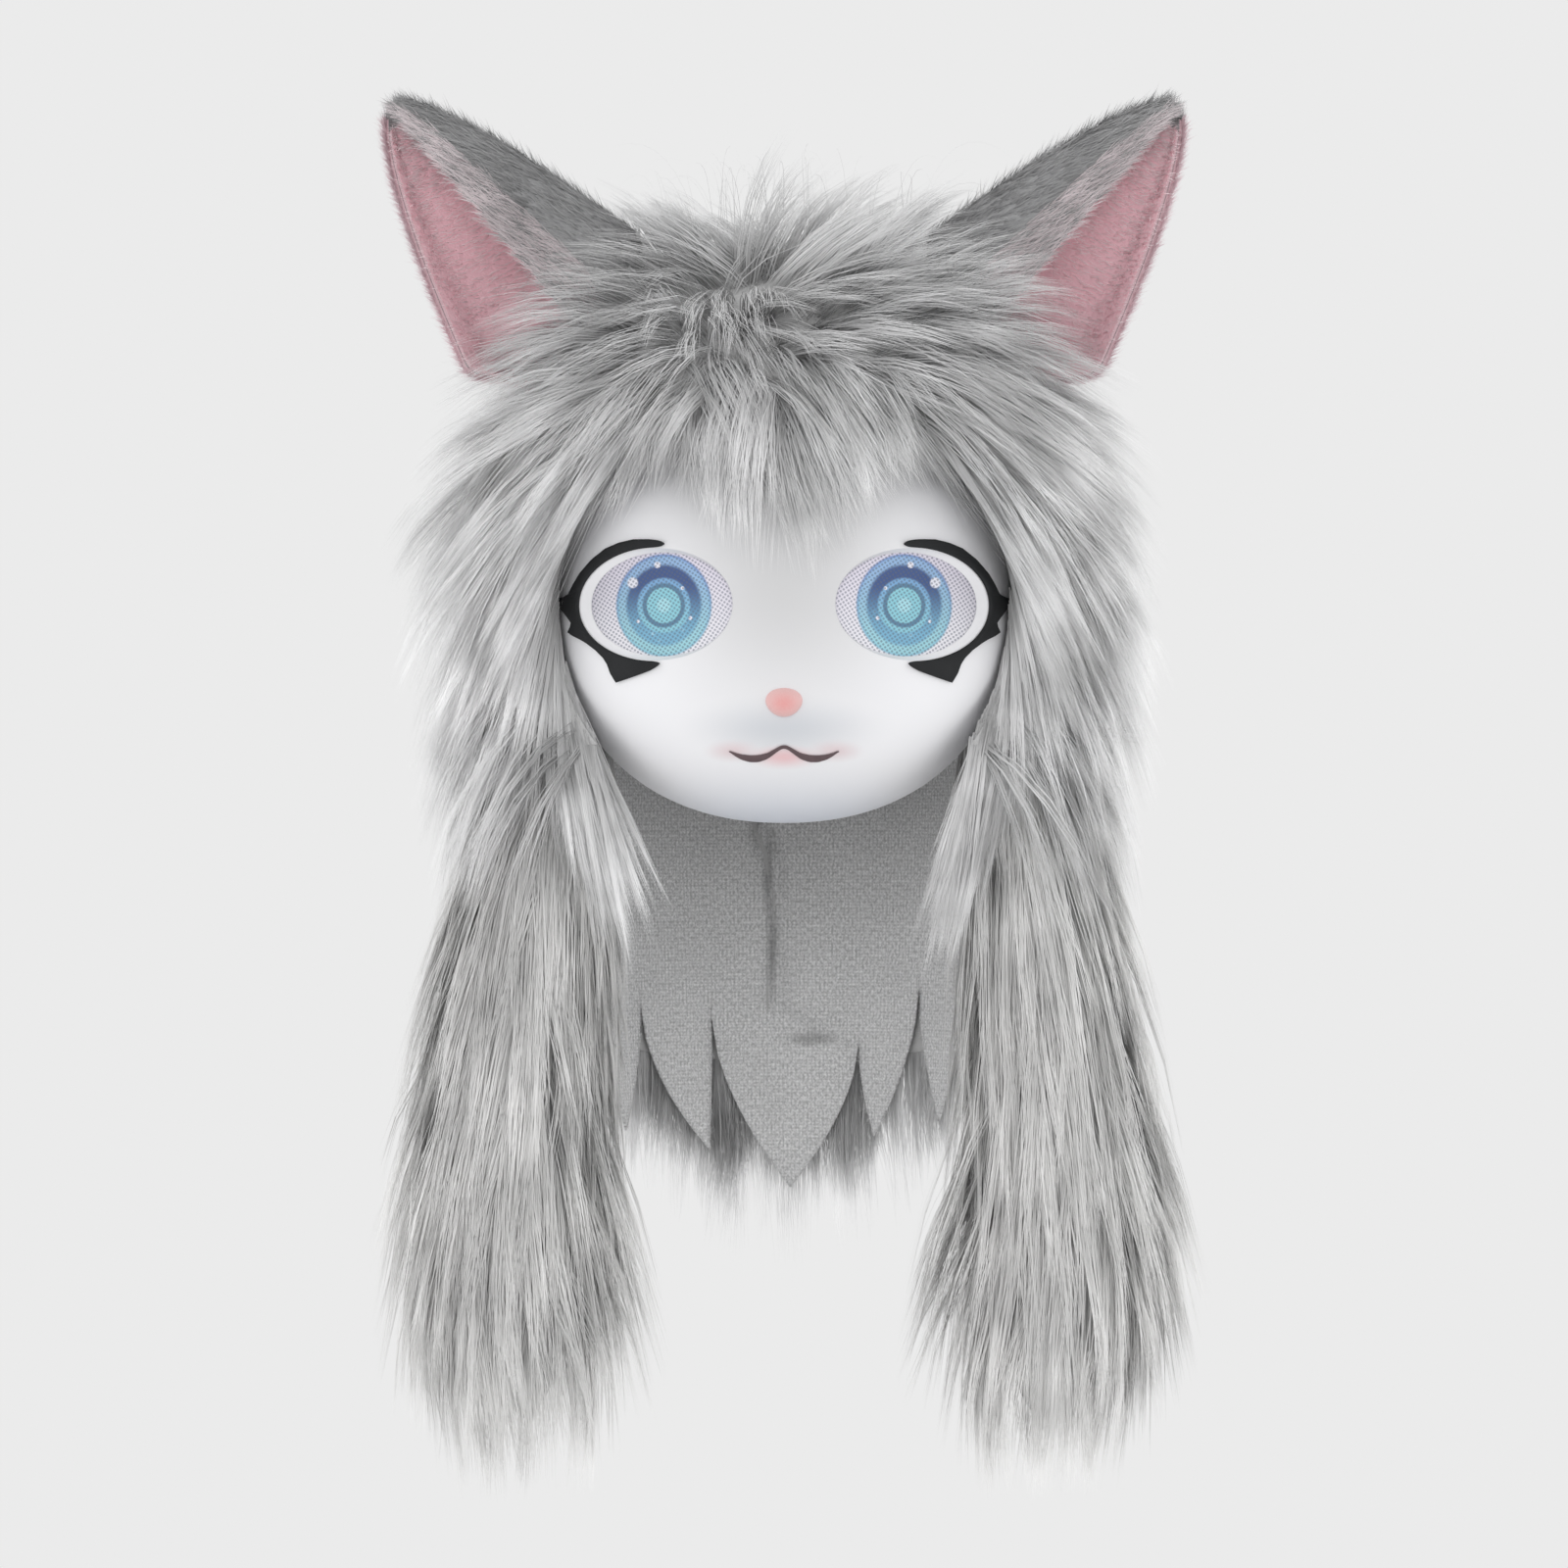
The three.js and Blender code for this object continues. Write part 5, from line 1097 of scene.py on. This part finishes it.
for side, name in ((-1, "left"), (1, "right")):
    cup = ear_cup(f"ear_cup_{name}", side, 0, 3, 0.965, grey_back)
    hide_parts(f"ear_{name}")
    # The pink pile is turned out over the cup's front edge, so that strip of the cup is pink too, in a darker
    # copy as painted shade on the lit edge
    strip = np.arange(len(cup.data.polygons)) % 90
    cup.data.materials.append(rim_back)
    at_lip = np.where((strip > 87) | (strip < 1), 1, 0).astype(np.int32)
    cup.data.polygons.foreach_set("material_index", at_lip)
    inner_cup = ear_cup(f"ear_inside_{name}", side, 3.35, 5.15, 0.93, pink_back)
    inner_cup.data.materials.append(rim_back)
    inner_cup.data.polygons.foreach_set("material_index", at_lip)
    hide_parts(f"ear_lining_{name}")

    grey = ear_pile(f"ear_pile_{name}", side, 9000, 0.2, 1, (0.05, 1), (0.0, 0.97), 13, 0.17,
                    ear_grey, 0.6, (0.8, 0.3))
    pink = ear_pile(f"ear_pink_pile_{name}", side, 6000, 5.0, -1, (0.0, 0.9), (0.0, 0.93), 8, 0.22,
                    ear_pink, 0.65, (0.25, -0.9))
    lip = ear_pile(f"ear_lip_{name}", side, 2700, 1.6, 1, (0.0, 0.035), (0.02, 0.96), 9.0, 0.3,
                   ear_lip, 0.5, (0.8, -0.4))
    pale = ear_pile(f"ear_pale_{name}", side, 2600, 0.2, 1, (0.89, 1.0), (0.02, 0.96), 13, 0.2,
                    ear_pale, 0.55, (0.8, 0.3))


# THE TRESSES
# A long tail of the same fur hangs from the hem at each side, stuffed lightly and thick with pile.
# It widens to the bottom, where the locks close in to a blunt point.
HEM_Z = -235.35  # 0.35 mm under the lining's cut edge
TRESS = {"across": 117, "y": -26, "half_width": 66, "half_depth": 44, "length": 366}
# The core's shares: down the length, out of its middle line and thickness, both of the half width
TRESS_CORE = np.array([
    (0, 0, 0.2), (0.08, 0.12, 0.42), (0.25, 0.25, 0.5), (0.5, 0.36, 0.55), (0.72, 0.4, 0.6),
    (0.82, 0.3, 0.42), (0.89, 0.26, 0.26), (0.93, 0.25, 0.14), (0.948, 0.25, 0.05),
])
TRESS_EDGE = np.array([  # height, distance of the middle from the head's centre, half width
    (-225, 148, 46), (-250, 146, 47), (-276, 138, 52), (-306, 132, 52), (-357, 135, 59), (-408, 141, 67),
    (-459, 143, 69), (-485, 147, 70), (-510, 147, 79), (-535, 138, 88), (-561, 137, 86), (-585, 136, 80),
    (-603, 135, 66), (-624, 134, 40),
])
tress_fur = fur_matter("tress_grey_fur", (0.62, 0.62, 0.615), (0.80, 0.797, 0.79), (0.91, 0.907, 0.90),
                       22.0, 0.2)
for side, name in ((-1, "left"), (1, "right")):
    down = np.linspace(0.002, 0.948, 60)
    shift = np.interp(down, TRESS_CORE[:, 0], TRESS_CORE[:, 1])
    thick = np.interp(down, TRESS_CORE[:, 0], TRESS_CORE[:, 2])
    turn = np.linspace(0, 2 * math.pi, 40, endpoint=False)
    core = np.stack([
        side * (TRESS["across"] + shift[:, None] * TRESS["half_width"])
        + (thick[:, None] * TRESS["half_width"] - 1) * np.cos(turn),
        TRESS["y"] + (thick[:, None] * TRESS["half_depth"] - 1) * np.sin(turn),
        HEM_Z - down[:, None] * TRESS["length"] + 0 * turn,
    ], axis=-1)
    tail = closed_tube(f"tress_core_{name}", core, fur_back)
    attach(tail, "root")
    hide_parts(f"tress_{name}")

    # Tips close in on 160 locks; each strand crosses a little round the tail on its way down
    locks, in_lock, each = 160, 7, 13
    wisps = locks * in_lock
    lock_z = -258 - 368 * rng.uniform(0, 1, locks) ** 0.64
    lock_phi = rng.uniform(0, 2 * math.pi, locks)
    end_z = np.maximum(np.repeat(lock_z, in_lock) + rng.normal(0, 24, wisps), -628)
    phi = np.repeat(lock_phi, in_lock) + rng.normal(0, 0.38, wisps)
    deep = np.sqrt(rng.uniform(0.30, 1.0, wisps))
    middle = np.interp(-end_z, -TRESS_EDGE[:, 0], TRESS_EDGE[:, 1])
    half = np.interp(-end_z, -TRESS_EDGE[:, 0], TRESS_EDGE[:, 2])
    end_x = side * middle + half * deep * np.cos(phi)
    end_y = TRESS["y"] + 0.66 * half * deep * np.sin(phi)
    end = np.stack([end_x, end_y, end_z], axis=-1)
    lock_end = end.reshape(locks, in_lock, 3).mean(axis=1).repeat(in_lock, axis=0)
    end += 0.22 * (lock_end - end)
    phi = phi + rng.normal(0, 0.18, wisps)
    run = rng.uniform(90, 145, wisps)
    start_z = np.minimum(end_z + run, rng.uniform(-232, -196, wisps))
    start_down = np.clip((HEM_Z - start_z) / TRESS["length"], 0, 0.9)
    shift = np.interp(start_down, TRESS_CORE[:, 0], TRESS_CORE[:, 1])
    thick = np.maximum(np.interp(start_down, TRESS_CORE[:, 0], TRESS_CORE[:, 2]), 0.3)
    foot = np.stack([
        side * (TRESS["across"] + shift * TRESS["half_width"]) + thick * 62 * np.cos(phi),
        TRESS["y"] + thick * 41 * np.sin(phi),
        start_z,
    ], axis=-1)
    hair_a, hair_b = spread(wisps, each, 5)
    tangent = np.stack([-np.sin(phi), 0.66 * np.cos(phi), 0 * phi], axis=-1)[:, None]
    root = foot[:, None] + tangent * hair_a[..., None] + hair_b[..., None] * [0, 0, 1]
    tip = end[:, None] + tangent * (0.35 * hair_a + rng.normal(0, 1.2, hair_a.shape))[..., None]
    tip = tip + np.abs(rng.normal(0, 8, hair_a.shape))[..., None] * [0, 0, 1]
    out = np.stack([np.cos(phi), 0.66 * np.sin(phi), 0 * phi], axis=-1)[:, None]
    knee = 0.6 * root + 0.4 * tip + out * rng.uniform(5, 15, (wisps, 1, 1))
    tone = tones(hair_a, 0.52, 0.14, 0.14)
    piece = strands(f"tress_fur_{name}", root, knee, tip, rng.uniform(0.6, 1.1, tone.size), tone, tress_fur,
                    wave=2.4, steps=3)


# THE NECK CURTAIN
# Two layers of grey heather jersey hang from the cap's hem behind the neck, cut below in leaf-shaped petals
# with raw edges. A pulled seam runs down the middle and ends in a soft fold.
PETALS = ((-1, -0.735, -0.88, 0.86, 0.59), (-0.735, -0.34, -0.36, 0.91, 0.62), (-0.34, 0.35, 0.03, 1, 0.68),
          (0.35, 0.675, 0.44, 0.88, 0.55), (0.675, 1, 0.85, 0.84, 0.6))
LIMIT = math.radians(68)
DROP = 235  # the curtain's length to its longest petal's tip, in millimetres


def neck_place(angle, drop, offset):
    """The hem's round, hung on down and drawn in a tenth by the bottom, in millimetres."""
    narrow = 0.95 * (1 - 0.1 * drop / DROP)
    return np.stack([
        (HOOD["half_width"] * narrow + offset) * np.sin(angle),
        (HOOD["half_depth"] * narrow + offset) * np.cos(angle),
        HEM_Z - drop,
    ], axis=-1)


def close_sheet(piece, closing=()):
    """Closes a sheet by the given quads, then a face over each open edge left, all turned to point out."""
    work = bmesh.new()
    work.from_mesh(piece.data)
    work.verts.ensure_lookup_table()
    for quad in closing:
        work.faces.new([work.verts[i] for i in quad]).smooth = True
    bmesh.ops.holes_fill(work, edges=[e for e in work.edges if e.is_boundary], sides=0)
    bmesh.ops.recalc_face_normals(work, faces=work.faces)
    work.to_mesh(piece.data)
    work.free()


columns, hang = [], []
before = 0.6
for start, stop, tip_at, low, slit in PETALS:
    share = np.linspace(0, 1, 15)
    columns += list(start + 0.004 + (tip_at - start - 0.004) * share)
    columns += list((stop + (tip_at - stop) * share[::-1])[1:])
    hang += list(before + (low - before) * share ** 0.6)
    hang += list((slit + (low - slit) * share[::-1] ** 0.6)[1:])
    before = slit
angle = np.array(columns)[None] * LIMIT
share_down = np.concatenate([np.linspace(0, 1, 60), np.linspace(1, 0, 24)])[:, None]
offset = np.concatenate([np.zeros(60), np.full(24, 1.5)])[:, None]
drop = share_down * np.array(hang)[None] * DROP
bare = neck_place(angle, drop, offset + 0 * angle)
# The seam is a narrow ridge towards the front, wandering a few millimetres; the fold below swings right
seam_heights = [-535, -371, -357, -341, -317, -293, -277, -235]
seam_x = np.interp(bare[..., 2], seam_heights, [24, -5, -4, -2.5, -1.5, -5.5, -11.5, -14])
fade = np.clip((bare[..., 2] + 392) / 20, 0, 1)
from_seam = bare[..., 0] - seam_x
ridge = 4.2 * np.exp(-(from_seam / 1.9) ** 2) * fade
groove = (3.4 * np.exp(-((from_seam - 4) / 2.4) ** 2) + 5 * np.exp(-((from_seam + 4) / 2.4) ** 2)) * fade
fold_line = np.interp(bare[..., 0], [-6, 3, 22, 45], [-372, -381, -393, -400])
fold = 5.5 * np.exp(-((bare[..., 2] - fold_line) / 5.0) ** 2)
fold = fold * np.clip((bare[..., 0] + 8) / 8, 0, 1) * np.clip((44 - bare[..., 0]) / 30, 0, 1)
billow = 2.6 * np.sin(bare[..., 0] / 17 + 0.8) * np.clip(drop / 120, 0, 1)
billow = billow + 1.8 * np.sin(bare[..., 2] / 31 + bare[..., 0] / 40)
curl = -2.5 * np.clip((share_down - 0.86) / 0.14, 0, 1) ** 2
bare[..., 1] += -ridge + groove - fold - np.abs(billow) * 0.8 + curl
lay = np.stack([np.broadcast_to(angle * 104 * MM, drop.shape), drop * MM], axis=-1)
# Painted light and shade: the curtain's light tone is raised well above the lining's to make up for the head's
# shade, and the spots are painted shadow beside the seam and under the fold.
curtain_jersey = jersey_matter("curtain_jersey", "UV", (0.92, 0.92, 0.925, 1), (0.36, 0.36, 0.365, 1), painted_crease_shade=(
    ((-15, 100, -268), (5, 200, 30)), ((-8.5, 100, -305), (4.5, 200, 34)), ((-6.5, 100, -345), (4.5, 200, 34)),
    ((14, 100, -391), (20, 200, 6)),
))
curtain = mesh_object("curtain", bare * MM, ring_faces(84, len(columns), wrap=False), curtain_jersey, uv=lay)
last = 83 * len(columns)
across = np.arange(len(columns) - 1)
closing = np.stack([last + across, last + across + 1, across + 1, across], axis=-1).tolist()
close_sheet(curtain, closing)
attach(curtain, "root")
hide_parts("neck_curtain")

# Loose pale threads stand out of the petals' raw edges
count = 1800
edge = bare[59]
place = rng.uniform(0, len(edge) - 1.001, count)
first, share = place.astype(int), (place % 1)[:, None]
root = edge[first] * (1 - share) + edge[first + 1] * share
run = rng.gamma(1.6, 0.9, count)[:, None]
lie = unit(rng.normal(0, 0.7, (count, 3)) * [1, 0.4, 1] + [0, -0.25, -0.55]) * run
root = root + [0, 0, 0.8]
knee = root + 0.5 * lie + rng.normal(0, 0.3, (count, 3))
thread_matter = fur_matter("loose_thread", (0.70, 0.70, 0.70), (0.82, 0.82, 0.82), (0.90, 0.90, 0.90),
                           40.0, 0.1)
threads = strands("petal_threads", root, knee, root + lie, np.full(count, 0.22), rng.uniform(0, 1, count),
                  thread_matter, twist=0.5, steps=2)


# THE NAPE FUR
# A pelt of the long fur hangs behind the curtain, sewn to the same hem.
# Its lowest locks show between and below the petals as a soft dark fringe.
def nape_length(share):
    """The nape pelt's drop at a share of the half angle: 168 mm, less 14 times the share's square."""
    return 168 - 14 * share ** 2


turn = np.linspace(-LIMIT, LIMIT, 60)[None]
length = nape_length(turn / LIMIT)
share_down = np.concatenate([np.linspace(0, 1, 30), np.linspace(1, 0, 30)])[:, None]
offset = np.concatenate([np.full(30, 2.6), np.full(30, 5.2)])[:, None]
backing = neck_place(turn, share_down * length, offset + 0 * turn)
nape = mesh_object("nape_pelt", backing * MM, ring_faces(60, 60, wrap=False), fur_back)
close_sheet(nape)
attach(nape, "root")
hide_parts("nape_fur")

# Painted light: this copy of the long fur is paler than the hood's, since the back gets little lamp light.
nape_fur = fur_matter("nape_grey_fur", (0.66, 0.66, 0.663), (0.80, 0.80, 0.803), (0.90, 0.90, 0.903))
NAPE_EDGE = np.array([  # share of the half angle, and the drop of the longest tips there
    (-1, 195), (-0.88, 222), (-0.70, 236), (-0.36, 262), (-0.10, 275), (0.03, 284), (0.20, 274),
    (0.44, 262), (0.70, 238), (0.85, 224), (1, 195),
])
# Nearly half the wisps are rooted on the front face, along the pelt's cut edge
wisps, each = 560, 18
share = rng.uniform(-0.98, 0.98, wisps)
at = share * LIMIT
low_edge = rng.uniform(0, 1, wisps) < 0.45
fall = np.where(low_edge, rng.uniform(0.90, 0.995, wisps), rng.uniform(0, 1, wisps) ** 0.7)
full = nape_length(share)
foot = neck_place(at, fall * full, np.where(low_edge, 3.2, 4.6))
out = np.stack([np.sin(at), np.cos(at), 0 * at], axis=-1)
tangent = np.stack([np.cos(at), -np.sin(at), 0 * at], axis=-1)[:, None]
hair_a, hair_b = spread(wisps, each, 7)
hair_b = np.where(low_edge[:, None], 0.3 * hair_b, hair_b)
root = foot[:, None] + tangent * hair_a[..., None] + hair_b[..., None] * [0, 0, 1]
rise = np.where(low_edge, rng.uniform(-1.5, 5, wisps), (34 - 26 * fall) * rng.uniform(0.4, 1.0, wisps))
longest = np.interp(share, NAPE_EDGE[:, 0], NAPE_EDGE[:, 1])
run = np.minimum(rng.uniform(48, 92, wisps), longest - fall * full - rng.uniform(0, 26, wisps))
run = np.where(low_edge, (longest - fall * full) * rng.uniform(0.6, 1.0, wisps), run)
tip = foot[:, None] + tangent * (0.35 * hair_a + rng.normal(0, 1.4, hair_a.shape))[..., None]
tip = tip + (out * rise[:, None])[:, None]
tip = tip - (run[:, None] * rng.uniform(0.75, 1.05, hair_a.shape))[..., None] * [0, 0, 1]
tip = tip + tangent * rng.normal(0, 7, wisps)[:, None, None]
knee = root + out[:, None] * (0.75 * rise)[:, None, None] - 0.35 * run[:, None, None] * np.array([0, 0, 1])
tone = tones(hair_a, 0.5, 0.15, 0.14)
nape_pile = strands("nape_pile", root, knee, tip, rng.uniform(0.6, 1.1, tone.size), tone, nape_fur,
                    wave=2.0, steps=3)


# THE END
# The box of the dressed head, without the backdrop.
low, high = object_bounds()
